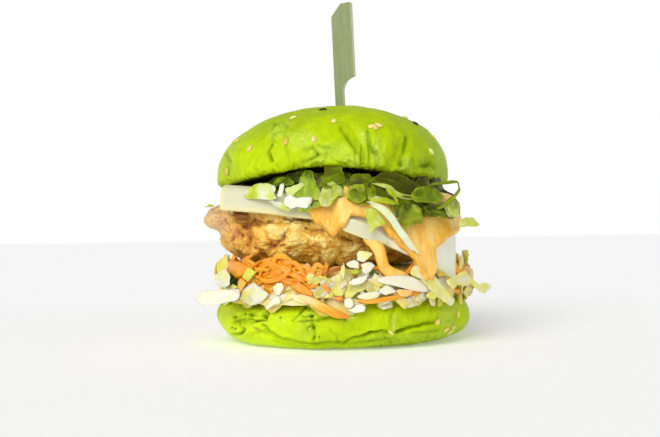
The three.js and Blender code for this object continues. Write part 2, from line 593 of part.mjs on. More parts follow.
const CROWN_SEEDS = [
  [-136, 0.34, 60], [-124, 0.38, 80], [-118, 0.57, 30], [-106, 0.39, 100], [-91, 0.53, 55], [-68, 0.52, 20],
  [-63, 0.5, 130], [-50, 0.62, -30], [-31, 0.3, 110], [-152, 0.12, 95], [-28, 0.42, 60],
];
const HEEL_SEEDS = [
  [-128, -0.16, 70], [-70, -0.1, 80], [-50, 0.06, 40], [-46, -0.06, 20], [-42, -0.02, 50], [-38, 0.22, 75],
  [-166, 0.1, 80],
];

// Seeds on the rest of the bun, spread by the golden angle.
function spread(count, low, high, gapFrom, gapTo) {
  const spots = [];
  for (let i = 0; spots.length < count; i++) {
    const azimuth = turnFrom(i * 137.508, 0);
    if (azimuth > gapFrom && azimuth < gapTo) continue;
    spots.push([azimuth, lerp(low, high, Math.sqrt((spots.length + 0.5) / count)), (i * 73) % 180]);
  }
  return spots;
}

// The pick: a flat bamboo blade with one slanted corner, a scooped neck and a pointed end.
function pick(extra) {
  const [left, right] = [-PICK.wide / 2 - extra, PICK.wide / 2 + extra];
  const neck = -PICK.wide / 2 + PICK.neck + extra;
  const scoop = right - neck + 0.6;
  const point = -PICK.length + 9 - 2 * extra;
  const outline = new THREE.Shape();
  outline.moveTo(left, -5.8);
  outline.lineTo(left + 5, extra);
  outline.lineTo(right, extra);
  outline.lineTo(right, -PICK.blade);
  outline.absarc(right + 0.6, -PICK.blade - scoop, scoop, 93 * DEG, 180 * DEG, false);
  outline.lineTo(neck, point);
  outline.lineTo(-PICK.wide / 2 + PICK.neck / 2 + 0.4, -PICK.length - extra);
  outline.lineTo(-PICK.wide / 2 + PICK.neck / 2 - 0.4, -PICK.length - extra);
  outline.lineTo(left, point);
  const depth = PICK.thick + 2 * extra;
  const blade = new THREE.ExtrudeGeometry(outline, { depth, bevelEnabled: false, curveSegments: 6 });
  blade.translate(0, 0, -depth / 2).rotateX(90 * DEG);
  blade.rotateZ(-PICK.turn * DEG).rotateY(PICK.lean * DEG);
  return blade.translate(PICK.x, 0, PICK.top);
}

// Solids, each cut clear of the ones that it touches
const steps = (from, to, count) => Array.from({ length: count }, (_, i) => lerp(from, to, (i + 1) / count));
const crownRows = [-1, -0.62, ...steps(-0.62, CUT_END, 2), ...steps(CUT_END, 0, 2), ...steps(0, 1, 10)];
const heelRows = [-1, ...steps(-1, -0.6, 1), ...steps(-0.6, 0, 5), ...steps(0, 0.5, 4), ...steps(0.5, 1, 2)];
const chickenRows = [-1, -0.82, ...steps(-0.82, -0.3, 3), ...steps(-0.3, 0.3, 4), ...steps(0.3, 0.8, 3), 1];
const crownSkin = skin(crownPoint, 46, crownRows);
const heelSkin = skin(heelPoint, 46, heelRows);
const chickenSkin = skin(chickenPoint, 50, chickenRows);
const slices = [LEFT_SLICE, RIGHT_SLICE].map((spec) => (grow) =>
  solid(grown(sheet((s, t) => slicePoint(spec, s, t), SLICE.thick, 10, 10), grow)),
);
const sauceSheet = sheet(saucePoint, sauceThick, 24, 7);

const pickRoom = solid(pick(GAP));
const crownRoom = solid(grown(crownSkin, GAP));
const heelRoom = solid(grown(heelSkin, GAP));
const chickenRoom = solid(grown(chickenSkin, GAP));
const sliceRooms = slices.map((make) => make(GAP));
const sauceRoom = solid(grown(sauceSheet, GAP));

const crownSpots = [...CROWN_SEEDS, ...spread(10, 0.85, 0.3, -150, -30)];
const crown = cut(join([solid(crownSkin), ...seeds(crownPoint, crownSpots)]), pickRoom);
const heelSpots = [...HEEL_SEEDS, ...spread(6, -0.2, 0.2, -170, -20)];
const heel = cut(join([solid(heelSkin), ...seeds(heelPoint, heelSpots)]), pickRoom);
const [leftSlice, rightSlice] = slices.map((make) => make(0));
const chicken = cut(solid(chickenSkin), ...sliceRooms, pickRoom);
const sauce = cut(solid(sauceSheet), chickenRoom, ...sliceRooms, crownRoom);

const slawCore = skin(slawCorePoint, 30, [0, 1, 2, 3, 4, 5, 6]);
const slawParts = [slawCore, ...fromTable(SLAW_FRONT, 0.5, inmost), ...slawRound];
const slawHeap = join(slawParts.map((mesh) => solid(mesh)));
const slaw = cut(slawHeap, heelRoom, chickenRoom, sliceRooms[1], sauceRoom, pickRoom);

const lettuceCore = skin(lettuceCorePoint, 28, [0, 1, 2, 3, 4, 5, 6, 7, 8]);
const lettuceParts = [lettuceCore, ...fromTable(LETTUCE_FRONT, 0.6, highest), ...lettuceRound];
const lettuceHeap = join(lettuceParts.map((mesh) => solid(mesh)));
const lettuce = cut(lettuceHeap, crownRoom, chickenRoom, ...sliceRooms, sauceRoom, pickRoom);

addNode("bun_heel", largest(heel, 0.08), 0xa9cf14, 0.6);
addNode("slaw", largest(slaw, 0.27), 0xeee6b4, 0.5);
addNode("chicken", largest(chicken, 0.07), 0xc98c38, 0.75);
addNode("cheese_left", largest(cut(leftSlice, pickRoom)), 0xefebcb, 0.4);
addNode("cheese_right", largest(cut(rightSlice, pickRoom)), 0xe6e6d4, 0.4);
addNode("sauce", largest(sauce, 0.05), 0xeeb860, 0.3);
addNode("lettuce", largest(lettuce, 0.16), 0x9cb832, 0.45);
addNode("bun_crown", largest(crown, 0.08), 0xa9cf14, 0.55);
addNode("bamboo_pick", solid(pick(0)), 0x99a573, 0.6);

export default group;
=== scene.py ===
"""A chicken burger in a green sesame bun, dressed over its CAD frame.

Shapes are worked out in millimetres with numpy, +Z up and the front facing -Y, and are scaled to metres
when their mesh is made. Each piece has its own operator, and the sidebar panel lists them.
"""

from math import cos, pi, radians, sin, sqrt
from types import SimpleNamespace as Sizes

import bpy
import numpy as np
from bpy.props import FloatProperty, FloatVectorProperty, IntProperty, PointerProperty
from mathutils import Matrix, Vector


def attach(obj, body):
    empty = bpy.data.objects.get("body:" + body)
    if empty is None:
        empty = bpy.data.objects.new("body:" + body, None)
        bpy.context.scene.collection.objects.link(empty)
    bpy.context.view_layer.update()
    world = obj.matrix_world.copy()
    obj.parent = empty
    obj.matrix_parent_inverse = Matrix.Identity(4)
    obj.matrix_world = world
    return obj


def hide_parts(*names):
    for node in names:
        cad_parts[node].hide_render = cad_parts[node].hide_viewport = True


bl_info = {
    "name": "Chicken Burger",
    "version": (1, 0, 0),
    "blender": (4, 5, 0),
    "location": "View3D > Sidebar > Burger",
    "description": "Builds a chicken burger's bun, fillings and pick over its CAD frame",
    "category": "Object",
}

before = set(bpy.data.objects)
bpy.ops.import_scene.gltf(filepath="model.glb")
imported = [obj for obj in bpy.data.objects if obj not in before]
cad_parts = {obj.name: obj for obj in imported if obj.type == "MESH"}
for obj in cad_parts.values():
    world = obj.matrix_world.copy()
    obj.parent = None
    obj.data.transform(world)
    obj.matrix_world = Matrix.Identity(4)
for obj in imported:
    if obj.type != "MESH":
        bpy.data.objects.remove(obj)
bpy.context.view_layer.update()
BODY = "root"
MM = 0.001

# Driving sizes, which the part's source has too
STAND = 4.4  # height of the heel's underside before every piece is lowered on to the floor
HEEL = Sizes(radius=57.6, foot=42.5, waist=15.8, edge=24.3, shoulder=9.0, dip=2.6)
CROWN = Sizes(radius=53.4, x=-4.5, cut=75.0, lift=5.0, hollow=78.9, lip=3.4, lip_in=4.2,
              top=111.0, lean=3.8, full=0.92)
CHICKEN = Sizes(x=-3.0, low=38.4, belly=52.0, rest=66.0, slope=-0.1)
SLICE = Sizes(thick=2.0, bend=4.0, steep=radians(82))
SAUCE = Sizes(thick=3.2, start=-107.0, end=-27.0, inner=38.0, lift=6.6, below=2.5)
PICK = Sizes(length=150.0, top=160.4, blade=34.5, wide=10.0, neck=4.0, thick=3.0, turn=24.0,
             lean=-1.9, x=0.8, slant=5.8, slant_wide=5.0, scoop_out=0.6, point=9.0, tip=0.4)

# Other sizes
SEED = (3.6, 2.1, 1.3)  # length, width and thickness, a little more than the seeds of the solids have
EYE = (-6.1, -440.0, 53.5)
PITCH = 0.822  # how far the camera looks up, in degrees
ROLL = -0.9  # how far the camera leans, in degrees
SIGHT = 385.0  # from the eye to the upright plane that marks on the front are measured on
SUN_WAY = (0.4, 0.8, -0.6)
FLOOR = Sizes(half=6.0, under=0.0002)  # metres
CUT_END = -0.25  # where the crown's cut face ends, on its climb from -1 to 1
UNDER_END = -0.6  # where the heel's underside ends, on its climb from -1 to 1
TOP_START = 0.5  # where the heel's cut face starts, on that climb
GOLDEN_ANGLE = 137.508  # from each scattered seed to the next, in degrees
SEEDED_BY_TABLE = (-174, -6)  # azimuths without scattered seeds
HEAP_REACH = 56  # radius that the heaps' patterns are laid out on
LEAF_CORNERS = 9
BLUNT = 40.0  # the higher, the blunter a strip's ends
STIFF = 1.5  # shards thicker than this are torn half as much
INSIDE_SHIFT = 3  # how far right the lettuce's inner mass lies where it doesn't hang over the front
ON_CHICKEN = 20  # the lettuce core's heights under this are measured from what it lies on

# Folds in the bun's skin: azimuth, height, width, tall, depth, slant in degrees for each millimetre up
CROWN_FOLDS = (
    (-58, 86, 3.2, 8, 2.2, 0.5), (-78, 93, 5.5, 8, 2.4, -0.9), (-88, 88, 3.6, 7, 1.6, 1.2),
    (-69, 87, 3, 7, 1.3, 0.4), (-121, 88, 2.8, 7, 1.4, -0.6), (-38, 83, 3, 5, 1.3, 0),
    (20, 88, 5, 9, 1.6, 0.6), (75, 90, 4, 9, 1.5, -0.5), (140, 87, 4.5, 8, 1.6, 0.5),
)
HEEL_FOLDS = (
    (-139, 16, 6, 4, 3.2, 1), (-126, 10, 4, 5, 2.6, -2), (-103, 15, 3.5, 6, 1.8, 1), (-82, 12, 3, 7, 1, 0),
    (-28, 14, 5, 6, 1.4, 0), (35, 13, 4, 6, 1.8, 1), (110, 14, 5, 6, 2, -1), (165, 12, 4, 6, 1.6, 0),
)

# Fine creases: width, depth, then points on the front plane
CROWN_CREASES = (
    (0.45, 1.3, ((-29, 89.6), (-30.5, 86.9), (-29.3, 83.1))),
    (0.5, 0.5, ((-29.1, 95.8), (-27.7, 98.4), (-24.7, 99), (-22.7, 97.1), (-23.9, 95.3), (-26.8, 94.9),
                (-29.3, 93.1), (-28.5, 91.1))),
    (0.7, 0.5, ((-24, 89), (-22.7, 85.6), (-22.1, 82.8))),
    (0.9, 1.1, ((-15.9, 87.6), (-12.6, 88.1), (-10.2, 84.9))),
    (0.8, 0.6, ((-10.6, 89), (-5.6, 87.9))),
    (0.8, 0.7, ((-10.2, 84.9), (-13.1, 83.1), (-16.8, 81.9))),
    (1.0, 0.9, ((10, 94.6), (10.7, 89), (11.9, 85.5))),
    (0.8, 0.8, ((4.2, 88.5), (7, 84.4), (7.3, 80.7))),
    (0.7, 0.6, ((7.4, 87.7), (8.4, 82.7))),
    (1.1, 1.3, ((26.1, 92.1), (24.6, 86.2), (23.3, 80.9))),
    (0.8, 0.7, ((-0.6, 96), (2.2, 91.4), (3.8, 88.5))),
    (0.8, 0.5, ((2.4, 82), (6.5, 80.3), (11, 79.4), (15.9, 78.1))),
    (0.7, 0.7, ((13.1, 85.9), (14.3, 82.6), (13.9, 79.4))),
    (0.8, 0.6, ((17.2, 84.2), (17.9, 78.5))),
    (1.1, 0.9, ((32.7, 79.9), (35.6, 81.1), (37.2, 79))),
    (0.8, 0.6, ((28.2, 82.4), (29.8, 78.3))),
    (0.9, 0.9, ((-48.2, 86.9), (-47.1, 82.4), (-47.6, 77.1))),
    (0.7, 0.6, ((-27.4, 81.3), (-25, 79.2), (-26.7, 77.1))),
    (0.6, 0.4, ((-36.9, 80.2), (-34.5, 76.9))),
    (0.6, 0.4, ((-4.9, 83.8), (-2.5, 81.7), (0.8, 81.2))),
)
HEEL_CREASES = (
    (0.7, 1.6, ((-38.3, 17.6), (-35.4, 17.7), (-33.3, 18.1), (-31.6, 21.8))),
    (1.0, 1.2, ((-46, 16.9), (-42.8, 17.9), (-39.1, 18.2))),
    (0.6, 1.3, ((-46.5, 12.2), (-43.4, 12.3), (-41.8, 14.4))),
    (0.55, 2.1, ((-33.8, 15.9), (-31.5, 13.2), (-28.1, 10.8), (-24.1, 9.7), (-18.8, 8.3), (-13.9, 8),
                (-8.9, 8.2), (-2.8, 8.1), (-0.8, 8), (1.7, 9.8), (5.4, 10.6), (9.5, 12.1), (14, 12.5),
                (17.3, 12.2))),
    (0.55, 1.6, ((20.2, 12.2), (25.5, 14), (29, 14.5), (32.9, 15.8), (35.8, 15.9))),
    (0.45, 1.1, ((-21.9, 17.7), (-19.2, 20.2), (-16.4, 23.1))),
    (0.6, 0.8, ((-11.7, 17.3), (-7, 18.8), (-0.6, 17.8))),
    (0.8, 0.6, ((19.9, 23.6), (18.5, 19.1), (18.5, 15.1))),
    (0.6, 0.7, ((27.1, 11.6), (32, 11.8), (36.9, 12.3))),
    (0.6, 0.5, ((35.1, 23.8), (34.2, 21.8), (34.6, 19.7))),
    (0.7, 0.9, ((-14.5, 19.3), (-13.7, 16.8), (-13.4, 13.9), (-13.4, 10.2))),
    (0.6, 0.6, ((1.3, 7.8), (7.4, 8.7), (13.6, 8.8), (20.1, 9.3))),
    (0.6, 0.5, ((-29.4, 9.3), (-23.3, 8.1), (-17.1, 7))),
    (0.6, 0.5, ((-6.4, 13.4), (-4, 10.9), (-3.2, 8.4))),
)
CHICKEN_CREASES = (
    (1.3, 3.2, ((-39.3, 58.3), (-36.4, 57.5), (-32.7, 57.6), (-29.8, 58.8))),
    (1.0, 2.2, ((-40.5, 56.5), (-40.6, 52.8), (-39.4, 49.5))),
    (1.0, 1.6, ((-24.2, 53.4), (-25.9, 50.5), (-28.3, 49.3))),
    (1.0, 1.8, ((-49.5, 59.5), (-47.9, 56.6), (-48.7, 53.8))),
    (1.0, 1.6, ((-42.9, 61.9), (-42.5, 58.6), (-40.5, 56.5))),
    (0.9, 1.4, ((-34.1, 49.4), (-30.8, 47.3), (-25.5, 48.1))),
    (1.0, 1.6, ((-16, 55.3), (-13.5, 54), (-8.6, 54.8))),
    (1.0, 1.5, ((-11.2, 47.4), (-9.6, 44.6), (-11.3, 42.1))),
    (1.2, 2.0, ((-3.3, 53.5), (-0.9, 51), (2.7, 49.3))),
    (0.8, 1.2, ((-35.4, 45.8), (-31.7, 43.3), (-28.9, 41.6))),
    (1.0, 1.8, ((-24.5, 59.1), (-19.6, 58.6), (-14.7, 59.2))),
)

# Rounded patches on the front plane: across, up, half width, half height, and how far they stand out
# or go in
HEEL_PITS = (
    (-45.6, 19.2, 0.8, 0.8, 1.3), (-41.1, 20.5, 0.7, 0.7, 1.2), (-39, 20.1, 0.8, 0.8, 1.4),
    (-33.1, 19.8, 1.1, 1.1, 2.6), (-14.1, 19.4, 0.8, 0.8, 1.4), (-13.5, 14.3, 0.6, 0.6, 1.2),
    (-13.5, 9.9, 0.5, 0.5, 1), (-46.7, 15.1, 0.5, 0.5, 0.9), (-45.3, 14.6, 0.5, 0.5, 0.9),
    (-26.8, 18.8, 0.5, 0.5, 0.6), (-11.2, 10.6, 0.4, 0.4, 0.6),
)
HEEL_SCUFFS = (
    (-17.8, 14.4, 3.3, 4.9, 0.3), (-13.7, 20.1, 2.9, 2.5, 0.2), (-34.5, 21.2, 1.6, 1.6, 0.1),
    (-28, 17, 3.3, 3.3, 0.1), (-40.7, 16.8, 3.3, 1.6, 0.1), (-39.6, 12.7, 2.5, 2.5, 0.1),
    (19, 16.3, 1.2, 4.1, 0.1), (0.6, 18.2, 3.3, 2, 0.1), (40.3, 17.6, 3.3, 3.3, 0.1),
)
CROWN_SCUFFS = (
    (-27.6, 94.3, 3.7, 2.9, 0.2), (-17.9, 91.3, 6.5, 4.1, 0.1), (-5.7, 86.2, 9, 3.7, 0.1),
    (7.9, 92.2, 2, 3.3, 0.2), (13.1, 85.9, 2.5, 5.7, 0.3), (3.3, 82.8, 3.3, 2.5, 0.1),
    (24.9, 80.4, 2, 3.7, 0.2), (-47, 83.6, 1.2, 4.9, 0.3), (36.8, 78.2, 2.5, 1.6, 0.2),
    (-10.6, 83, 4.9, 2.5, 0.1), (-23.9, 97.6, 2.5, 1.6, 0.1),
)
CHICKEN_LOBES = (
    (-31.6, 53.9, 8.2, 3.3, 2.4), (-45.8, 56.6, 3.3, 4.9, 1), (-44.7, 49.6, 3.7, 2.9, 1.8),
    (-40.3, 46.3, 3.7, 2.5, 1.6), (-35.7, 49.1, 3.7, 3.3, 1.2), (-24.7, 45.2, 7, 2.5, 1.4),
    (-18.5, 51.2, 5.3, 2.9, 2.2), (-11.2, 49.9, 4.1, 2.9, 1.8), (-6.3, 44.5, 4.1, 2.5, 2.4),
    (-12.1, 42.1, 2.5, 1.6, 1.6), (-40.9, 60.2, 3.3, 2, 1.6), (-33.9, 60.5, 4.9, 1.6, 1.2),
    (-19.6, 56.2, 4.1, 1.6, 1), (-7.2, 41.2, 2.5, 1.4, 1.8), (-2.3, 42.4, 2, 2, 2),
)

# Seeds seen from the front: across, up, turn in degrees, and 1 for a dark one
CROWN_SEEDS = (
    (-20.6, 100.4, 30, 0), (-3.8, 98.9, 70, 0), (-12.1, 91.6, 95, 0), (-23.6, 91, 85, 0),
    (-38.4, 88.1, 60, 0), (-47.7, 78.9, 85, 0), (-8.3, 103.5, 10, 1), (11.7, 96.6, 20, 0),
    (14.5, 97, 140, 0), (12.9, 96.2, 80, 0), (25.6, 100.1, -30, 0), (29.5, 97.1, -40, 1),
    (35.8, 85.8, 115, 0), (-43.6, 91.3, 50, 0), (37.6, 92, 120, 0),
)
HEEL_SEEDS = (
    (-37.1, 14.7, 70, 0), (-52.5, 22.3, 85, 0), (18.1, 12.4, 80, 0), (37.3, 16, 45, 0), (40.8, 12.9, 25, 0),
    (43.5, 13.8, 20, 0), (42.3, 11.9, 60, 0), (45.5, 19.3, 100, 0),
)

# Cheese slices: the azimuth they face, the radius that they fold over, how they lie there, and their size
LEFT_SLICE = Sizes(facing=-115, radius=53, wrap=0, lift=0.9, rise=0.8, corner=(12, 12.8),
                   turn=0, wide=46, deep=62, wave=0.3)
RIGHT_SLICE = Sizes(facing=-62, radius=53, wrap=1, lift=3, rise=0, corner=(26.5, 36.5),
                    turn=20, wide=62, deep=46, wave=0.5)

# The sauce's lower edge, its long fall higher than in the solids, and how far out it lies, by azimuth
SAUCE_EDGE = (
    (-107, 64), (-101, 56.5), (-95, 51.5), (-91, 55), (-87, 60), (-81, 59), (-76, 55.5), (-71, 50.5),
    (-65, 45.5), (-61.5, 42), (-59.5, 34), (-57, 31.5), (-54, 32), (-51.5, 35), (-50, 45), (-46, 47.5),
    (-40, 50.5), (-34, 52), (-27, 58),
)
SAUCE_REACH = ((-107, 56.5), (-97, 53.2), (-91, 55.6), (-60, 55.4), (-27, 56.2))

# The white tip and the thin trail of sauce follow these: across, height and distance from the axis
CHEESE_TIP = ((-3.2, 57.2, 55.5), (2.4, 55.8, 57), (9, 53.2, 57.8), (17.4, 48.9, 58.2))
SAUCE_TRAIL = (
    (7.8, 51.6, 56.5), (10.6, 49.6, 57.6), (13.4, 46.4, 58), (14.6, 42.4, 58), (16, 38.4, 57.8),
    (19.5, 36, 57.6), (24.6, 34.9, 57.8),
)

# Leaves and flat shards that show at the front: thickness, tint low and high on it, patchiness, stain,
# crumple, and its distance from the burger's axis low and high on it, then the corners of its outline:
# across and up
LETTUCE_LEAVES = (
    (0.45, 0.95, 0.9, 0.1, 0.1, 0.6, 53, 50, (-24.3, 77.4), (-19, 79.3), (-15.5, 81), (-15, 76.6),
     (-18.3, 74.2), (-21.3, 73.7), (-23.4, 75.5)),
    (0.45, 0.72, 0.82, 0.15, 0, 0.7, 55.5, 53, (-30.3, 74.3), (-27.5, 76.7), (-25.3, 77.1), (-22.5, 76.4),
     (-20.4, 74.2), (-21.4, 73), (-24.2, 72.7), (-26.4, 73.4), (-27.4, 72.8), (-28.8, 72.4)),
    (0.5, 0.22, 0.3, 0.5, 0, 0.8, 58.8, 57, (-43.2, 68.8), (-41.7, 72.3), (-39.4, 73.2), (-36, 74.8),
     (-32.3, 74.4), (-30.1, 73.8), (-28, 71.6), (-29.4, 69.9), (-27.3, 67.4), (-31.6, 67.2), (-34.5, 67.6),
     (-36.7, 68.1), (-40.5, 68.1)),
    (0.5, 0.22, 0.2, 0.3, 0.3, 0.8, 60, 59, (-31.6, 67.2), (-28.7, 66.7), (-24.8, 65.9), (-23.1, 64.1),
     (-22.7, 62.4), (-24.5, 62.8), (-27.3, 63.9), (-29.4, 64.7), (-30.8, 65.8)),
    (1, 0.1, 0.05, 0.1, 0, 0.3, 59.3, 57.8, (-26.9, 71.5), (-26.5, 73.6), (-24.9, 73.9), (-24.7, 71.4),
     (-25.8, 68.3), (-27.7, 68.8)),
    (0.6, 0.22, 0.16, 0.15, 0, 0.6, 58.7, 56.8, (-24.5, 71.8), (-21.6, 72.4), (-17.5, 73.7), (-15.8, 73.2),
     (-17.2, 71.6), (-19.2, 70.2), (-21.3, 68.3), (-23.4, 68.3)),
    (0.5, 0.52, 0.76, 0.12, 0, 0.5, 59.6, 54, (-19.2, 73.4), (-18.5, 75.8), (-16.1, 79.3), (-13, 78.9),
     (-12, 74.9), (-10.7, 71.7), (-9.7, 69.3), (-10.4, 66.5), (-12.1, 66.2), (-13.1, 67.8), (-17.2, 67.9),
     (-21.3, 68.1), (-20.3, 69.6), (-17.5, 71.9), (-18.9, 73)),
    (0.9, 0.02, 0.06, 0.08, 0, 0.7, 60.7, 59.7, (-24.7, 67.9), (-22.6, 69.9), (-21.6, 68.5), (-20.2, 67.8),
     (-16.8, 68), (-13.1, 68.1), (-13.1, 66.6), (-14.1, 63.9), (-16.2, 63.4), (-18.2, 64), (-20.3, 63.4),
     (-22.3, 62.7), (-23.7, 64.1), (-25.1, 65.5)),
    (0.4, 0.6, 0.55, 0.1, 0, 0.4, 60.2, 59.8, (-19.1, 63.1), (-16.6, 63.6), (-13.7, 64.2), (-13.1, 62.9),
     (-16.2, 61.8), (-18.7, 62)),
    (0.45, 0.6, 0.62, 0.2, 0.4, 0.6, 59.3, 56, (-10.8, 73.2), (-7.5, 72.3), (-8.4, 68.2), (-9.7, 64.1),
     (-12.5, 62.9), (-15, 63.4), (-12.9, 66.2), (-10.4, 68.2)),
    (0.45, 0.66, 0.8, 0.12, 0.8, 0.6, 58.9, 51, (-8.2, 80.9), (-3.7, 81.4), (-1.3, 80.3), (-0.4, 76.1),
     (0.6, 74), (-1.8, 73), (-3.8, 73), (-5.2, 71.3), (-8.6, 71.3), (-10.7, 73.2), (-8.6, 76)),
    (0.6, 0.4, 0.3, 0.2, 0.2, 0.6, 60.6, 56.8, (-9, 65.8), (-8, 68.2), (-5.9, 70.2), (-3.9, 71.2),
     (-4.2, 73.3), (-2.5, 72.9), (-0.8, 71.2), (0.5, 68.7), (-1.9, 68.1), (-4, 66.4), (-5.7, 64.4),
     (-7.4, 63.7), (-8.7, 64.5)),
    (0.45, 0.66, 0.74, 0.15, 0.6, 0.5, 59, 53, (-1.7, 79), (-0.1, 75.6), (0.3, 73.5), (-0.6, 70.6),
     (-0.3, 68.1), (-1.9, 67.7), (-3, 71.4), (-2.6, 75.6)),
    (0.45, 0.6, 0.72, 0.12, 0.75, 0.5, 59.1, 52, (1.9, 73.1), (2.8, 75.6), (4.9, 77.7), (10.8, 77.7),
     (11.5, 74.3), (12.6, 73), (13.4, 70.4), (13.2, 67.9), (9.9, 67.9), (9.2, 69.2), (8.4, 70.5),
     (6.4, 72.8)),
    (0.45, 0.42, 0.5, 0.12, 0.4, 0.7, 60, 57, (1, 70.5), (3.5, 72.5), (7.6, 72.9), (8.3, 70),
     (7.8, 67.5), (6.1, 65), (3.8, 67.5), (1.8, 68.4)),
    (0.45, 0.84, 0.9, 0.12, 0.5, 0.5, 59.4, 52, (11.5, 75.1), (15.8, 78.1), (21.8, 77.7), (27.7, 75.2),
     (31.9, 71.8), (38.1, 69.8), (35.7, 68.6), (32.4, 66.9), (27.1, 66.6), (23.7, 67.5), (20, 70),
     (16, 73)),
    (0.5, 0.5, 0.4, 0.2, 0, 0.5, 60.6, 57.5, (8.9, 67.5), (11.6, 68.3), (14.4, 67.9), (17.7, 67),
     (21.7, 64.9), (19.2, 64.3), (15.1, 64.5), (10.2, 65.4)),
    (0.5, 0.36, 0.3, 0.25, 0.1, 0.9, 61.6, 60, (8.1, 62.6), (12.2, 62.9), (15, 59.7), (17, 56.4),
     (15.7, 56.2), (12, 54.8), (9.9, 52), (9.6, 54.1), (9.2, 58.1)),
    (0.45, 0.56, 0.72, 0.4, 0.6, 1.4, 61.8, 59.6, (20.5, 62.9), (23.5, 64.1), (28.7, 64.9), (32.1, 62.4),
     (32.8, 59.5), (32.2, 56.2), (30, 56.2), (26.5, 55.6), (23.2, 56.3), (21.2, 58.8)),
    (0.4, 0.56, 0.55, 0.1, 0, 0.3, 61.5, 61.3, (22.7, 54.7), (25.7, 55.9), (26.3, 55), (24, 53.2)),
    (0.45, 0.82, 0.9, 0.1, 0.45, 0.8, 63, 61.4, (32.8, 62.4), (35.7, 64.5), (37.9, 63.5), (42.7, 65),
     (43.9, 62), (39.8, 59.5), (35.2, 59.1), (32.6, 59.1)),
    (0.5, 0.34, 0.5, 0.3, 0.3, 0.8, 65.5, 63.4, (45.9, 67), (48.7, 64.5), (48.4, 61.1), (48.6, 57.7),
     (46.3, 59.2), (43.5, 60.2), (42.3, 62.7), (43.3, 64.9)),
    (0.5, 0.32, 0.3, 0.2, 0, 0.6, 68.5, 67, (47.7, 58.1), (54.9, 58.9), (58.4, 55.5), (56.1, 54.9),
     (51.9, 55.1), (47.8, 54.3)),
    (0.45, 0.74, 0.84, 0.15, 0.6, 0.7, 58.6, 54, (-12.5, 70.8), (-11.2, 75.2), (-7, 78), (-1.3, 77.4),
     (2.3, 74.5), (1.8, 70.5), (-0.7, 67.7), (-4.4, 66.5), (-7.7, 64.1), (-10.9, 65.4), (-12.9, 67.9)),
    (0.45, 0.64, 0.74, 0.15, 0.6, 0.6, 58.8, 54, (-1, 69.7), (1.5, 73.7), (6.4, 76.1), (10.9, 74.5),
     (12.9, 70.4), (11.6, 66.7), (8.7, 64.3), (4.2, 64.3), (0.9, 66.4)),
    (0.45, 0.78, 0.86, 0.1, 0.6, 0.8, 58.8, 54.5, (8.8, 72.8), (12.1, 76.1), (18.8, 74.9), (24.7, 72.4),
     (31.6, 70.4), (37.5, 67.6), (36, 63.4), (28.9, 63.3), (22.4, 64.6), (16.1, 66.3), (11.2, 67.9)),
    (0.45, 0.74, 0.8, 0.15, 0.55, 0.9, 60.4, 58.8, (18.4, 64.5), (24.3, 65.7), (31.2, 64.9), (37.4, 63.7),
     (43.1, 63.3), (44.5, 60.8), (39.2, 58.7), (33.7, 59.5), (30.2, 56.6), (24.6, 55.5), (20.4, 58.4)),
    (0.45, 0.82, 0.8, 0.1, 0.5, 0.8, 63, 61.5, (31.8, 63.2), (37.1, 64), (42.2, 64.5), (47.1, 67.5),
     (49.6, 64.2), (49.6, 60.3), (46, 57.8), (39.8, 58.6), (34.4, 60.3)),
    (0.45, 0.62, 0.7, 0.2, 0.5, 0.8, 60.6, 58.4, (26.9, 67.8), (29.5, 71.1), (33.9, 72), (38.9, 70.8),
     (42.7, 68), (40.7, 65), (34.7, 64.5), (29, 65.3)),
    (0.45, 0.3, 0.44, 0.2, 0.1, 0.9, 60.4, 57, (-10.9, 66.6), (-10, 70.6), (-7.1, 73.4), (-4.2, 74.1),
     (-2.7, 71.7), (-4.7, 68.9), (-6.4, 65.3), (-8.9, 63.3)),
    (0.45, 0.5, 0.62, 0.2, 0.6, 0.8, 60.2, 57.5, (0.1, 68), (2.6, 70.4), (5.4, 72), (7.9, 70.3),
     (9, 67.5), (7, 65), (3.3, 65.5)),
    (0.45, 0.88, 0.94, 0.1, 0.1, 0.8, 54, 50, (-34.9, 73.6), (-29, 77.5), (-22.5, 78.8), (-17, 79.4),
     (-10.8, 78.4), (-9.2, 73.4), (-13.4, 70.2), (-19.2, 71.2), (-26.1, 70.6), (-32.2, 70.9)),
    (0.5, 0.3, 0.22, 0.2, 0.1, 0.7, 64.6, 63.4, (41.4, 64.8), (44.2, 66.5), (47.1, 64.9), (48, 61.5),
     (46.5, 59), (43.2, 59.4), (41.8, 61.9)),
)
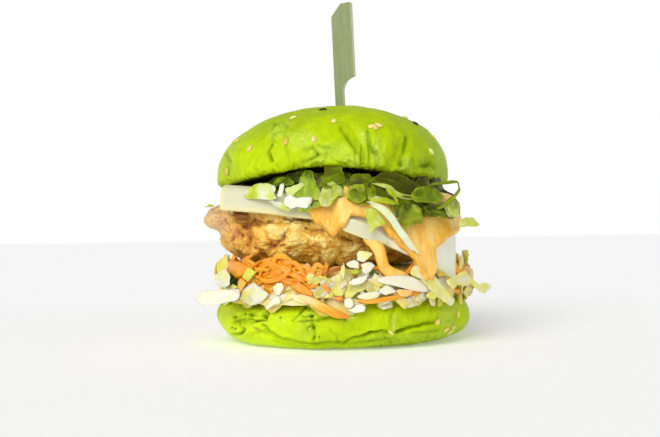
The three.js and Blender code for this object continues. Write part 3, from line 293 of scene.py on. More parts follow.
CABBAGE_SHARDS = (
    (2.2, 0.6, 0.55, 0.1, 0, 0.2, 59.3, 58.6, (-44.1, 35.1), (-41, 39.4), (-37.2, 37.1), (-41, 32.9)),
    (1, 0.24, 0.16, 0.25, 0.12, 1, 59.2, 58, (-45.4, 25), (-44.3, 28.4), (-41.2, 31.8), (-39.1, 33),
     (-35.1, 30.6), (-31.8, 28), (-32.7, 26.6), (-35.6, 24.2), (-40.1, 22.8), (-43.2, 23.8)),
    (0.8, 0.06, 0.1, 0.1, 0, 0.4, 60.3, 58.9, (-38.8, 32.9), (-34.9, 30.4), (-31.7, 28.1), (-34, 25.7),
     (-38.4, 24.1), (-39.8, 27.1)),
    (1, 0.4, 0.3, 0.1, 0.9, 0.4, 59, 58.6, (-48.1, 23.9), (-44.7, 25.7), (-40.2, 23), (-43.3, 23.3)),
    (1.2, 0.08, 0.14, 0.15, 0, 0.7, 58.9, 58.4, (-30.2, 31.2), (-28.3, 32.8), (-26, 32.7), (-25.3, 30.4),
     (-27.5, 27.6), (-29.3, 28.1)),
    (1.2, 0.02, 0.05, 0.08, 0, 0.5, 60, 59, (-33.7, 22.3), (-31.2, 25.3), (-28.4, 27.4), (-26.9, 26.3),
     (-27, 24.5), (-29.8, 23.8), (-32.7, 21.9)),
    (0.7, 0.4, 0.34, 0.2, 0.3, 0.5, 58.3, 57.6, (-13.9, 34.9), (-11.7, 35.6), (-9, 35.1), (-9.9, 33.1),
     (-12.2, 32.3), (-13.5, 32.7)),
    (0.8, 0.32, 0.26, 0.2, 0.1, 0.6, 59, 58, (-13.6, 28.7), (-11.3, 31.8), (-9.5, 30.4), (-6.8, 28.6),
     (-5.9, 26.8), (-8.6, 26.4), (-10.9, 26.9), (-12.3, 26.4)),
    (0.9, 0.34, 0.28, 0.25, 0.1, 1, 58.9, 57, (-7.2, 32.7), (-6.2, 34.9), (-4, 36.2), (-2.1, 37.1),
     (-1.6, 40.2), (-0.3, 40.2), (0.5, 35.7), (2.3, 34.3), (0.9, 32.1), (-1.4, 27.2), (-4.1, 27.7),
     (-5.9, 29.1)),
    (0.8, 0.46, 0.4, 0.2, 0.15, 0.9, 59.2, 58.2, (0.9, 32.1), (4.4, 31.4), (7.7, 33.8), (9.5, 32.8),
     (10.4, 30.6), (7.2, 29.6), (4, 28.7), (1.2, 26.1), (-1, 26.7)),
    (1.4, 0.1, 0.16, 0.2, 0, 0.6, 58.9, 58, (4.3, 44.2), (5.6, 45.8), (9.3, 45.5), (11.1, 44.6),
     (8.7, 42.3), (6.9, 41), (4.7, 42)),
    (1.5, 0.03, 0.04, 0.08, 0, 0.5, 59.2, 58.6, (0.1, 40.3), (1.5, 41.6), (3.8, 42), (5.5, 40.6),
     (5.5, 38.4), (2.8, 38.9), (1, 39.3)),
    (1.5, 0.02, 0.03, 0.05, 0, 0.5, 59.8, 59, (6, 40.2), (9.2, 41.2), (11.9, 40.1), (10.9, 38.3),
     (8.6, 36.1), (6.8, 37.5)),
    (0.6, 0.78, 0.7, 0.1, 0, 0.3, 58.3, 58, (2.4, 37.9), (5.1, 38.7), (6.4, 37.4), (4.1, 35.9),
     (2.3, 36.2)),
    (1.4, 0.03, 0.02, 0.06, 0, 0.6, 59.8, 59.2, (0.9, 33.1), (4.1, 34.8), (7.3, 35.6), (9.1, 36.9),
     (8.1, 33.8), (5.9, 32.1), (3.1, 31.5), (1.3, 32.2)),
    (2, 0.1, 0.02, 0.06, 0.1, 0.4, 60, 59.2, (4, 27.2), (6.7, 28.7), (11.7, 29.2), (14.4, 28.7),
     (12.5, 26.5), (8.4, 25.8), (5.8, 26.1)),
    (2, 0.03, 0.02, 0.05, 0.05, 0.3, 59.6, 58.8, (13.1, 29.6), (16.8, 31.8), (18.6, 30.8), (20.7, 28.5),
     (16.2, 27.3), (14, 28.3)),
    (1.8, 0.02, 0.02, 0.04, 0, 0.4, 60.4, 59.6, (-1, 25.9), (1.2, 27.2), (2.6, 25.9), (3, 23.6),
     (1.2, 22.4), (-0.6, 23.3)),
    (1.4, 0.03, 0.05, 0.08, 0, 0.6, 61, 60.2, (0.3, 22), (3.9, 23.6), (6.2, 24.5), (7.9, 23.1), (7, 21.4),
     (3.4, 20.8)),
    (2.4, 0.06, 0.02, 0.05, 0.12, 0.35, 60, 58.8, (12.2, 34.5), (15.1, 35.2), (19.7, 35.4), (25.6, 35.1),
     (29.5, 34.1), (34.7, 31.2), (35.7, 28.3), (32.8, 27.8), (27.5, 28.7), (20, 31.1), (15.4, 32.1),
     (12.6, 32.7)),
    (1, 0.3, 0.24, 0.25, 0.05, 0.6, 62.4, 60, (25.9, 35.8), (29, 39.8), (32.8, 36.3), (37.3, 34.5),
     (39, 32.7), (41.7, 28.8), (44.5, 26.5), (46.3, 23.9), (45, 21.3), (43.3, 22.1), (39.7, 24.8),
     (35.7, 28), (33.1, 31.4), (29.7, 34)),
    (0.6, 0.36, 0.34, 0.2, 0.05, 0.6, 61.6, 61, (33, 27.1), (36.2, 29.2), (38.9, 26.5), (36.5, 24.6),
     (34.3, 25.6)),
    (0.7, 0.3, 0.22, 0.25, 0.05, 1.2, 64.5, 63.5, (41.3, 32.4), (45.1, 33.4), (48.2, 35.7), (51.3, 35.9),
     (53.4, 34), (54.3, 31.4), (52.5, 29.5), (47.4, 30.7), (45.4, 28.8), (43.1, 30.6)),
    (0.7, 0.32, 0.26, 0.25, 0.05, 1, 70.5, 69, (51.3, 34.2), (53.7, 32.8), (56.7, 30), (59, 30.6),
     (62, 30.3), (64.2, 28.5), (59.1, 25.8), (56.4, 27.1), (54, 29.4), (51.1, 32.1)),
    (2.2, 0.03, 0.02, 0.05, 0, 0.4, 59.6, 59, (-52.7, 29.2), (-48.4, 30.4), (-45, 29.6), (-45, 26.4),
     (-47.4, 24.3), (-51.6, 24.1)),
    (0.7, 0.34, 0.3, 0.35, 0, 0.7, 60, 59.4, (-53.6, 34.9), (-50.3, 34.2), (-48.3, 31.8), (-45.3, 30.3),
     (-48.8, 29.6), (-53, 29.3)),
    (2, 0.03, 0.1, 0.08, 0, 0.25, 69, 67, (-68.8, 25.5), (-63.6, 28.4), (-57.2, 29.6), (-51, 30.3),
     (-44.8, 30), (-43.5, 27.1), (-45.8, 25.8), (-52.6, 24), (-61.5, 22.3), (-67, 23.1)),
    (0.8, 0.2, 0.12, 0.25, 0, 0.8, 62, 61, (-57.9, 34.6), (-54.7, 37.1), (-50.9, 37.8), (-49, 34.9),
     (-49.5, 31.4), (-52.7, 29.9), (-56.7, 30.3), (-58.8, 32.3)),
    (0.8, 0.24, 0.14, 0.2, 0.5, 0.8, 58.8, 57.4, (-43.3, 26), (-38.2, 27.9), (-31.5, 27.7), (-25.1, 28.7),
     (-18.9, 27.9), (-14, 25.9), (-15.6, 23.5), (-21, 23.4), (-26, 24.1), (-31.6, 22.7), (-37.8, 23.7),
     (-41.9, 23.5)),
)
CARROT_SHARDS = (
    (1.8, 0.35, 0.15, 0.25, 0, 0.5, 57.8, 57, (-52, 40.9), (-49.2, 41.7), (-44.2, 40.8), (-38.1, 38.8),
     (-41.8, 36.8), (-44.9, 34.8), (-47.6, 34), (-50, 37.1)),
    (1.8, 0.3, 0.2, 0.2, 0, 0.5, 58.8, 58, (-23.2, 32.2), (-19.5, 33.4), (-15.8, 31.5), (-13.6, 29.3),
     (-13.6, 27.2), (-17.7, 28), (-21.3, 30.2)),
    (1.6, 0.05, 0.1, 0.1, 0, 0.3, 58.9, 58.4, (-10.3, 32.7), (-8.5, 32.9), (-5.9, 29.7), (-6.8, 28.7),
     (-9, 30.4)),
    (1.4, 0.05, 0.1, 0.1, 0, 0.3, 59.4, 59, (-5, 27.3), (-1.9, 27.7), (-1.2, 26.1), (-3.3, 25.3)),
    (1.6, 0.2, 0.15, 0.3, 0, 1.6, 55.5, 54.5, (-37.4, 41.2), (-32.5, 43.4), (-25.1, 43), (-20, 41.7),
     (-18.4, 38), (-19.3, 33.5), (-24.4, 31.4), (-30.8, 31.7), (-35.2, 34.1), (-37.9, 37.4)),
    (1.2, 0.75, 0.7, 0.2, 0, 0.5, 58.3, 58, (-45.1, 34.4), (-41.8, 32.4), (-43.7, 29.3), (-45.7, 26.2),
     (-48.2, 26.5), (-47.1, 30.8)),
)

# Strips that show at the front: width, thickness, tint at the start and at the end, patchiness, stain,
# frayed edges and curl, then the points that they follow: across, height and distance from the axis
LETTUCE_FRONT = (
    (3.2, 1.6, 0.1, 0.04, 0.08, 0, 0.05, 0.15,
     (9.7, 64.9, 61.5), (14.9, 62.5, 62), (18.6, 58.8, 61.5), (21.5, 54.3, 61.5), (24.7, 49.8, 61.8),
     (28.6, 44.7, 61)),
    (2, 0.9, 0.3, 0.22, 0.1, 0.3, 0.1, 0.1,
     (11.7, 73.3, 56), (17.4, 71.6, 57.5), (23.2, 67.8, 58.5), (30.5, 67.4, 59), (37.7, 69.2, 59)),
    (1.4, 0.5, 0.6, 0.55, 0.15, 0.6, 0.15, 0.2,
     (33.6, 70.5, 56), (37.3, 72.9, 59), (42.6, 73.4, 61), (48, 73.9, 63), (48.6, 71.2, 64.5),
     (45.5, 67.3, 65), (41.4, 64, 64), (35.4, 61.1, 61)),
    (1.5, 0.7, 0.5, 0.45, 0.2, 0.1, 0.1, 0.1, (17.6, 70.2, 60.5), (20, 67.7, 61), (21.6, 64.9, 61.5)),
    (1.2, 0.6, 0.4, 0.45, 0.1, 0.1, 0.1, 0.1, (-62.4, 65.4, 64), (-60.4, 66.3, 62.5), (-58.2, 65.8, 61)),
)
CABBAGE_FRONT = (
    (2.4, 1.2, 0.24, 0.1, 0.2, 0.2, 0.35, 0.2,
     (-26.4, 24.6, 59), (-22.6, 27.5, 59), (-18.5, 25.9, 59), (-15.2, 24.7, 59)),
    (2.4, 1.2, 0.35, 0.3, 0.2, 0.4, 0.2, 0.1, (-14.3, 31.2, 57.5), (-11.4, 34.4, 57.5), (-6.5, 34.4, 57)),
    (2.6, 1.4, 0.34, 0.3, 0.2, 0.3, 0.2, 0.1, (-13.1, 28, 58.5), (-9, 31.2, 58.5), (-6.5, 34.8, 58)),
    (2.4, 1.2, 0.36, 0.34, 0.2, 0.3, 0.2, 0.1, (-1.3, 29.1, 58), (-0.4, 33.1, 58), (-0.8, 37.2, 57.5)),
    (3.2, 1.2, 0.34, 0.36, 0.2, 0.3, 0.25, 0.1, (8.1, 33.4, 58), (9.3, 30.9, 58.5), (10.9, 28.4, 58.5)),
    (1.6, 1.2, 0.2, 0.3, 0.2, 0, 0.2, 0.1, (-2, 33.2, 58.5), (-1.2, 36.8, 58.5), (-1.1, 40, 58)),
    (3.4, 2, 0.02, 0.04, 0.1, 0.9, 0.2, 0.1, (-15.5, 38.8, 55), (-13.8, 36.8, 55), (-11.8, 35.5, 55)),
)
CARROT_FRONT = (
    (2.1, 1.7, 0.3, 0.2, 0.3, 0, 0.08, 0.05,
     (-36.8, 35, 57), (-33.2, 33.5, 58), (-27.6, 34.4, 58), (-23.7, 37.3, 57.5), (-22.1, 40.1, 56)),
    (1.9, 1.6, 0.2, 0.15, 0.3, 0, 0.08, 0.05,
     (-30.3, 42.5, 54), (-24.6, 41.7, 55), (-20, 40.5, 56), (-17.5, 36.9, 57), (-15.1, 32.8, 57.5)),
    (1.8, 1.5, 0.25, 0.2, 0.3, 0, 0.08, 0.05, (-30.7, 30.9, 56.5), (-25.5, 33.5, 57), (-20.1, 34, 57)),
    (1.9, 1.6, 0.15, 0.25, 0.3, 0, 0.08, 0.05, (-35.1, 38.8, 56), (-30.6, 40.5, 56), (-25.5, 38.9, 56.5)),
    (3.4, 2, 1, 0.02, 0.15, 0, 0.08, 0.05,
     (-20.1, 28, 59), (-14.3, 25.6, 59.5), (-8.7, 22.8, 60.2), (-3.9, 20.4, 60.6), (1.3, 19.1, 60.2)),
    (2.2, 1.4, 0.3, 0.3, 0.2, 0.8, 0.1, 0.05, (-10.2, 35.5, 54.5), (-5.6, 37.9, 54.5), (-0.3, 39.1, 55)),
    (1.9, 1.4, 0.45, 0.3, 0.2, 0, 0.1, 0.05,
     (5.1, 25, 59.3), (11.6, 25.2, 59.6), (17.8, 26.2, 59.4), (23.8, 26.8, 59)),
    (2.2, 1.6, 0.1, 0.05, 0.2, 0, 0.08, 0.05, (20.9, 28.9, 58), (28.6, 27.7, 58), (35.7, 28.5, 58)),
    (3, 1.8, 0.8, 0.7, 0.2, 0, 0.08, 0.05, (20.8, 28.5, 59), (23.8, 28, 59), (27.2, 28.3, 59)),
    (2.2, 1.8, 0.4, 0.45, 0.2, 0, 0.1, 0.1, (-30.7, 42.6, 55), (-27.1, 43.9, 56), (-22.9, 43, 56)),
)
GREENS_FRONT = (
    (2.6, 1.2, 0.95, 1, 0.2, 0.1, 0.5, 0.2, (-49.6, 36, 60), (-47.4, 32.6, 59), (-45.2, 29.7, 58)),
    (2.4, 1.2, 0.7, 0.8, 0.2, 0.1, 0.2, 0.15, (-52.1, 32.1, 61), (-50.1, 32.2, 60.5), (-47.7, 33.6, 60)),
)

# Inner masses of the heaps: radius and height. The slaw's is a little wider than in the solids
SLAW_ROWS = ((0, 22.6), (40, 24.4), (54.4, 24.9), (55.6, 28.5), (53.6, 35), (46, 37.3), (0, 37.3))
LETTUCE_INSIDE = (
    (0, 5.8), (30, 3.4), (38, 3.4), (41, 3.6), (42.4, 3.9), (43, 4.3), (43, 5), (38, 74.6), (0, 78),
)
LETTUCE_HANG = (
    (0, 5.8), (36, 8.8), (48, 8.6), (52, 69), (53.5, 65.5), (54.5, 65.5), (54, 69), (46, 73), (0, 78),
)


# Smooth maths


def clamp(x):
    """x, held between 0 and 1."""
    return np.clip(x, 0, 1)


def together(*columns):
    """Numbers side by side, as points."""
    return np.stack(columns, -1)


def smooth(a, b, x):
    t = clamp((x - a) / (b - a))
    return t * t * (3 - 2 * t)


def bell(x, width):
    return np.exp(-((x / width) ** 2))


def turn_from(a, b):
    """The turn from b to a in degrees, from -180 to 180."""
    return (a - b + 540) % 360 - 180


def through(points, x):
    """The value at x of a smooth line through a few points."""
    at, value = np.array(points, float).T
    i = np.clip(np.searchsorted(at, x) - 1, 0, len(at) - 2)
    return value[i] + (value[i + 1] - value[i]) * smooth(0, 1, (x - at[i]) / (at[i + 1] - at[i]))


def corner(i, j, k):
    s = np.sin(i * 127.1 + j * 311.7 + k * 74.7) * 43758.5453
    return s - np.floor(s)


def noise(x, y, z):
    """Smooth value noise from -1 to 1, the same at every run."""
    x, y, z = np.broadcast_arrays(x, y, z)
    i, j, k = np.floor(x), np.floor(y), np.floor(z)
    u, v, w = smooth(0, 1, x - i), smooth(0, 1, y - j), smooth(0, 1, z - k)

    def edge(b, c):
        low, high = corner(i, j + b, k + c), corner(i + 1, j + b, k + c)
        return low + (high - low) * u

    low = edge(0, 0) + (edge(1, 0) - edge(0, 0)) * v
    high = edge(0, 1) + (edge(1, 1) - edge(0, 1)) * v
    return 2 * (low + (high - low) * w) - 1


def rough(points, size, octaves=3):
    """Noise over points with finer noise on top, its coarsest lumps about size across."""
    total = 0
    for n in range(octaves):
        p = points * (2**n / size) + 17.3 * n
        total = total + noise(p[..., 0], p[..., 1], p[..., 2]) / 2**n
    return total


def cells(points, size):
    """How far each point is from the nearest and the second nearest of a scatter of points, size apart."""
    q = points / size
    base = np.floor(q)
    near = np.full(q.shape[:-1], 9.0)
    next_near = near.copy()
    for shift in np.ndindex(3, 3, 3):
        c = base + np.array(shift) - 1
        i, j, k = c[..., 0], c[..., 1], c[..., 2]
        spot = c + together(corner(i + 5, j, k), corner(i, j + 9, k), corner(i, j, k + 7))
        gap = np.linalg.norm(spot - q, axis=-1)
        next_near = np.minimum(next_near, np.maximum(near, gap))
        near = np.minimum(near, gap)
    return near, next_near


def unit(v):
    return v / np.maximum(np.linalg.norm(v, axis=-1, keepdims=True), 1e-9)


def dome(distance, radius):
    """A round bump, 1 high in its middle and 0 from its radius on."""
    return np.sqrt(clamp(1 - (distance / radius) ** 2))


# Marks on the front


def front_view(points):
    """Where points are seen on the front plane, and a mask that is 0 on the far side."""
    near = SIGHT / (points[..., 1] - EYE[1])
    x = (points[..., 0] - EYE[0]) * near + EYE[0]
    z = (points[..., 2] - EYE[2]) * near + EYE[2]
    return x, z, smooth(-4, -16, points[..., 1])


def line_marks(points, lines, wobble=0.35):
    """Depth of the creases that a table of lines draws on the front, and a mark for the shade painted along
    them.
    """
    x, z, front = front_view(points)
    x = x + wobble * noise(x / 1.3, z / 1.3, 2.5)
    z = z + wobble * noise(x / 1.3, z / 1.3, 7.5)
    depth = np.zeros(x.shape)
    mark = np.zeros(x.shape)
    for width, deep, path in lines:
        nearest = np.full(x.shape, 1e3)
        for (ax, az), (bx, bz) in zip(path, path[1:]):
            run = (bx - ax) ** 2 + (bz - az) ** 2
            t = clamp(((x - ax) * (bx - ax) + (z - az) * (bz - az)) / run)
            nearest = np.minimum(nearest, np.hypot(x - ax - t * (bx - ax), z - az - t * (bz - az)))
        fall = bell(nearest, 0.85 * width)
        lips = 0.3 * bell(nearest - 2.6 * width, 1.3 * width)
        uneven = 0.65 + 0.5 * noise(x / 3.1 + 5, z / 3.1, 1.5)
        depth = depth + deep * uneven * (fall - lips) * front
        line = bell(nearest, 0.15 + 0.7 * width) * front * min(1, 0.8 * deep)
        mark = np.maximum(mark, line * uneven)
    return depth, mark


def patch_marks(points, patches, ragged=0.0):
    """Height and mark of the rounded patches that a table places on the front."""
    x, z, front = front_view(points)
    if ragged:
        x = x + ragged * noise(x / 2.1, z / 2.1, 4.5)
        z = z + ragged * noise(x / 2.1, z / 2.1, 9.5)
    height = np.zeros(x.shape)
    mark = np.zeros(x.shape)
    for across, up, half_width, half_height, stand in patches:
        spread = np.hypot((x - across) / half_width, (z - up) / half_height)
        bump = dome(spread, 1.0) * front
        height = np.maximum(height, stand * bump)
        mark = np.maximum(mark, smooth(1.5, 0.3, spread) * front)
    return height, mark


# Closed skins round the vertical axis


def lap(turns):
    """Angles once round, closer together at the front."""
    steady = np.arange(turns) * 2 * pi / turns
    return steady - 0.45 * np.cos(steady)


def ring_normals(grid):
    east = np.roll(grid, -1, 1) - np.roll(grid, 1, 1)
    north = np.gradient(grid, axis=0)
    normals = unit(np.cross(east, north))
    normals[0] = (0, 0, -1)
    normals[-1] = (0, 0, 1)
    return normals


def ring_part(grid, marks):
    """The closed mesh of rows of points round the axis, whose first and last rows are single points."""
    rows, turns = grid.shape[:2]
    points = np.vstack([grid[:1, 0], grid[1:-1].reshape(-1, 3), grid[-1:, 0]])
    index = 1 + np.arange((rows - 2) * turns).reshape(rows - 2, turns)
    beside = np.roll(index, -1, 1)
    quads = together(index[:-1], beside[:-1], beside[1:], index[1:]).reshape(-1, 4)
    last = len(points) - 1
    under = together(np.zeros(turns, int), beside[0], index[0])
    over = together(index[-1], beside[-1], np.full(turns, last))
    flat = {name: np.concatenate([m[:1, 0], m[1:-1].ravel(), m[-1:, 0]]) for name, m in marks.items()}
    return points, [quads, np.vstack([under, over])], flat


def fold_depth(folds, azimuth, z, radius):
    depth = 0
    for at, height, width, tall, deep, slant in folds:
        across = np.radians(turn_from(azimuth, at + slant * (z - height))) * radius
        depth = depth + deep * bell(across, width) * bell(z - height, tall)
    return depth


def crown_cut(azimuth):
    lift = CROWN.lift * bell(turn_from(azimuth, -95), 40)
    return CROWN.cut + lift + 0.5 * np.sin(3 * np.radians(azimuth))


def crown_point(theta, climb):
    theta, climb = np.broadcast_arrays(theta, climb)
    azimuth = np.degrees(theta)
    wide = CROWN.radius + 0.7 * np.sin(2 * theta + 0.6) + 0.5 * np.sin(5 * theta)
    low = crown_cut(azimuth)
    seam = low + CROWN.lip
    f = (climb + 1) / (CUT_END + 1)
    b = clamp(climb / CUT_END) * pi / 2
    face = clamp(climb) * pi / 2
    cut = climb <= CUT_END
    turned = (climb > CUT_END) & (climb < 0)
    r = wide * np.maximum(0, np.cos(face)) ** CROWN.full
    r = np.where(turned, wide - CROWN.lip_in * (1 - np.cos(b)), r)
    r = np.where(cut, f * (wide - CROWN.lip_in), r)
    z = seam + (CROWN.top - seam) * np.sin(face) ** 0.89
    z = np.where(turned, seam - CROWN.lip * np.sin(b), z)
    z = np.where(cut, CROWN.hollow + (low - CROWN.hollow) * f * f, z)
    rise = clamp((z - seam) / (CROWN.top - seam))
    skin_side = smooth(-0.2, 0.06, climb) * smooth(0, 12, r)
    lumps = 0.7 * noise(r * np.cos(theta) / 15 + 7, r * np.sin(theta) / 15, z / 15)
    move = skin_side * (lumps - fold_depth(CROWN_FOLDS, azimuth, z, CROWN.radius))
    r = r + move * np.cos(face)
    z = z + move * np.sin(face)
    x = CROWN.x + CROWN.lean * rise * rise + r * np.cos(theta)
    return together(x, r * np.sin(theta), z)


def heel_point(theta, climb):
    theta, climb = np.broadcast_arrays(theta, climb)
    azimuth = turn_from(np.degrees(theta), 0)
    aside = np.cos(theta)
    wide = HEEL.radius + 0.8 * np.sin(2 * theta + 2.2) + 0.5 * np.sin(3 * theta + 1) - 0.9 * aside
    edge = HEEL.edge + 1.2 * bell(turn_from(azimuth, -60), 30) - 1.6 * bell(turn_from(azimuth, -130), 30)
    foot = HEEL.foot + 1.2 * np.sin(2 * theta + 1) - 1.5 * aside
    below = np.clip(climb / -UNDER_END, -1, 0) * pi / 2
    above = clamp(climb / TOP_START) * pi / 2
    f = clamp((1 - climb) / (1 - TOP_START))
    r = foot + (wide - foot) * np.cos(below)
    z = STAND + (HEEL.waist - STAND) * (1 + np.sin(below))
    outward = np.cos(below)
    side = climb >= 0
    r = np.where(side, wide - HEEL.shoulder * (1 - np.cos(above)), r)
    z = np.where(side, HEEL.waist + (edge - HEEL.waist) * np.sin(above), z)
    outward = np.where(side, np.cos(above), outward)
    top = climb >= TOP_START
    r = np.where(top, f * (wide - HEEL.shoulder), r)
    z = np.where(top, HEEL.edge - HEEL.dip + (edge - HEEL.edge + HEEL.dip) * f * f, z)
    under = climb < UNDER_END
    r = np.where(under, (climb + 1) / (UNDER_END + 1) * foot, r)
    outward = np.where(top | under, 0, outward)
    lumps = 0.9 * noise(r * np.cos(theta) / 13, r * np.sin(theta) / 13, z / 9 + 3)
    crease = 1.5 * bell(z - (7 + 8.5 * smooth(-92, -48, azimuth)), 1.9)
    crease = crease * smooth(-130, -112, azimuth) * (1 - smooth(-40, -20, azimuth))
    r = r + outward * (lumps - crease - fold_depth(HEEL_FOLDS, azimuth, z, HEEL.radius))
    return together(r * np.cos(theta), r * np.sin(theta), z)


def rest_plane(x):
    """The height of what the cheese lies on."""
    return CHICKEN.rest + CHICKEN.slope * x


def chicken_wide(azimuth):
    def away(at, width):
        return bell(turn_from(azimuth, at), width)

    front = -4.6 * away(-62, 34) - 1.6 * away(-112, 26)
    return 52 + 4.5 * away(180, 45) + front - 1.5 * away(90, 40) + 1.2 * away(-8, 20)


def crags(x, y, z):
    coarse = 1.7 * noise(x / 11 + 3, y / 11, z / 9)
    return coarse + 1.9 * (0.45 - np.abs(noise(x / 6.5, y / 6.5 + 9, z / 5)))


def chicken_point(theta, climb):
    theta, climb = np.broadcast_arrays(theta, climb)
    azimuth = np.degrees(theta)
    wide = chicken_wide(azimuth)
    a = climb * pi / 2
    upper = climb > 0
    r = wide * np.maximum(0, np.cos(a)) ** np.where(upper, 0.36, 0.62)
    c, s = np.cos(theta), np.sin(theta)
    top = rest_plane(CHICKEN.x + r * c)
    height = np.where(upper, top - CHICKEN.belly, CHICKEN.belly - CHICKEN.low)
    z = CHICKEN.belly + height * np.sign(climb) * np.abs(np.sin(a)) ** np.where(upper, 0.8, 0.9)
    side = smooth(0.62, 0.93, r / wide)
    lobe = 7.5 * bell(turn_from(azimuth, -168), 12) * bell(z - 62, 6)
    ledge = 1.8 * bell(z - 57.5, 2.2) * bell(turn_from(azimuth, -138), 16)
    move = side * (crags(r * c, r * s, z) + lobe - ledge) - 0.6
    return together(CHICKEN.x + (r + move) * c, (r + move) * s, z)


# Sheets


def edge_steps(count, length, rim):
    """Steps from -0.5 to 0.5 that crowd into the rims at both ends."""
    rims = rim / length * np.array([0, 0.06, 0.22, 0.5])
    middle = np.linspace(-0.5 + rim / length, 0.5 - rim / length, count)
    return np.concatenate([-0.5 + rims, middle, 0.5 - rims[::-1]])


def sheet_part(place, thick, size, counts, rim):
    """A sheet with rounded edges. place(s, t) is its middle, and size its length and width."""
    s = edge_steps(counts[0], size[0], rim)
    t = edge_steps(counts[1], size[1], rim)
    s, t = np.meshgrid(s, t, indexing="ij")
    h = 0.004
    along = place(s + h, t) - place(s - h, t)
    across = place(s, t + h) - place(s, t - h)
    normal = unit(np.cross(along, across))
    inset = np.minimum((0.5 - np.abs(s)) * size[0], (0.5 - np.abs(t)) * size[1])
    swell = np.sqrt(clamp(1 - (1 - clamp(inset / rim)) ** 2))
    half = (thick(s, t) if callable(thick) else thick) / 2 * swell
    middle = place(s, t)
    front = middle + normal * half[..., None]
    back = middle - normal * half[..., None]
    rows, columns = s.shape
    front_index = np.arange(rows * columns).reshape(rows, columns)
    inner = (rows - 2) * (columns - 2)
    back_index = front_index.copy()
    back_index[1:-1, 1:-1] = rows * columns + np.arange(inner).reshape(rows - 2, columns - 2)

    def faces(index):
        return together(index[:-1, :-1], index[1:, :-1], index[1:, 1:], index[:-1, 1:]).reshape(-1, 4)

    quads = np.vstack([faces(front_index), faces(back_index)[:, ::-1]])
    points = np.vstack([front.reshape(-1, 3), back[1:-1, 1:-1].reshape(-1, 3)])
    rim_mark = clamp(1 - inset / 3)
    mark = np.concatenate([rim_mark.ravel(), rim_mark[1:-1, 1:-1].ravel()])
    return points, [quads], {"rim": mark}


def over_shoulder(t):
    """How far out and down a sheet lies, t past the fold over the chicken's shoulder."""
    bend, steep = SLICE.bend, SLICE.steep
    arc = np.clip(t / bend, 0, steep)
    rest = np.maximum(0, t - bend * steep)
    out = np.where(t < 0, t, bend * np.sin(arc) + rest * cos(steep))
    return out, np.where(t < 0, 0, bend * (1 - np.cos(arc)) + rest * sin(steep))


def cheese_point(spec, s, t):
    """A slice is a rectangle laid over the chicken's shoulder, its outer corner at s and t of 0.5."""
    turn = radians(spec.turn)
    c, q = cos(turn), sin(turn)
    p, d = (s - 0.5) * spec.wide, (t - 0.5) * spec.deep
    along = spec.corner[0] + p * c - d * q
    past = spec.corner[1] + p * q + d * c
    out, down = over_shoulder(past)
    reach = spec.radius - SLICE.bend + out
    spin = spec.wrap * smooth(-20, 0, past) * (along / spec.radius)
    straight = along - spin * spec.radius
    angle = radians(spec.facing) + spin
    x = reach * np.cos(angle) - straight * np.sin(angle)
    y = reach * np.sin(angle) + straight * np.cos(angle)
    ripple = 1 + spec.wave * np.sin(along / 9 + 1) * clamp(past / 12) / spec.radius
    base = rest_plane(x) + spec.lift + spec.rise * smooth(14, 36, -x)
    z = base + SLICE.thick / 2 - down
    return together(x * ripple, y * ripple, z)


def sauce_point(s, t):
    azimuth = SAUCE.start + (SAUCE.end - SAUCE.start) * (s + 0.5)
    reach = through(SAUCE_REACH, azimuth)
    c, q = np.cos(np.radians(azimuth)), np.sin(np.radians(azimuth))
    top = rest_plane(reach * c) + SAUCE.lift
    ragged = 0.5 * noise(azimuth / 2.2, 3.5, 0.5)
    fall = top - through(SAUCE_EDGE, azimuth) + SAUCE.below + ragged
    inside = reach - SAUCE.inner
    past = (t + 0.5) * (inside + fall) - inside
    out, down = over_shoulder(past)
    r = reach - SLICE.bend + out
    z = rest_plane(r * c) + SAUCE.lift - down
    flow = 0.55 * noise(azimuth / 5 + 3, z / 16, 1.5) + 0.25 * noise(azimuth / 1.8, z / 9, 8.5)
    r = r + flow * smooth(-2, 4, past)
    return together(r * c, r * q, z)


def sauce_thick(s, t):
    ends = np.sqrt(clamp((0.5 - np.abs(s)) * 14)) * np.sqrt(clamp((0.5 - t) * 9))
    bead = 1 + 0.45 * bell(t - 0.455, 0.035)
    return SAUCE.thick * (0.45 + 0.55 * ends) * bead


# Strips


def spline(path, u):
    """A smooth curve through points, and its direction, at u from 0 to 1."""
    p = np.array(path, float)
    p = np.vstack([2 * p[0] - p[1], p, 2 * p[-1] - p[-2]])
    spans = len(p) - 3
    x = clamp(u) * spans
    i = np.minimum(x.astype(int), spans - 1)
    f = (x - i)[:, None]
    a, b, c, d = p[i], p[i + 1], p[i + 2], p[i + 3]
    at = 0.5 * (2 * b + (c - a) * f + (2 * a - 5 * b + 4 * c - d) * f**2 + (3 * b - a - 3 * c + d) * f**3)
    way = 0.5 * ((c - a) + 2 * (2 * a - 5 * b + 4 * c - d) * f + 3 * (3 * b - a - 3 * c + d) * f**2)
    return at, unit(way)


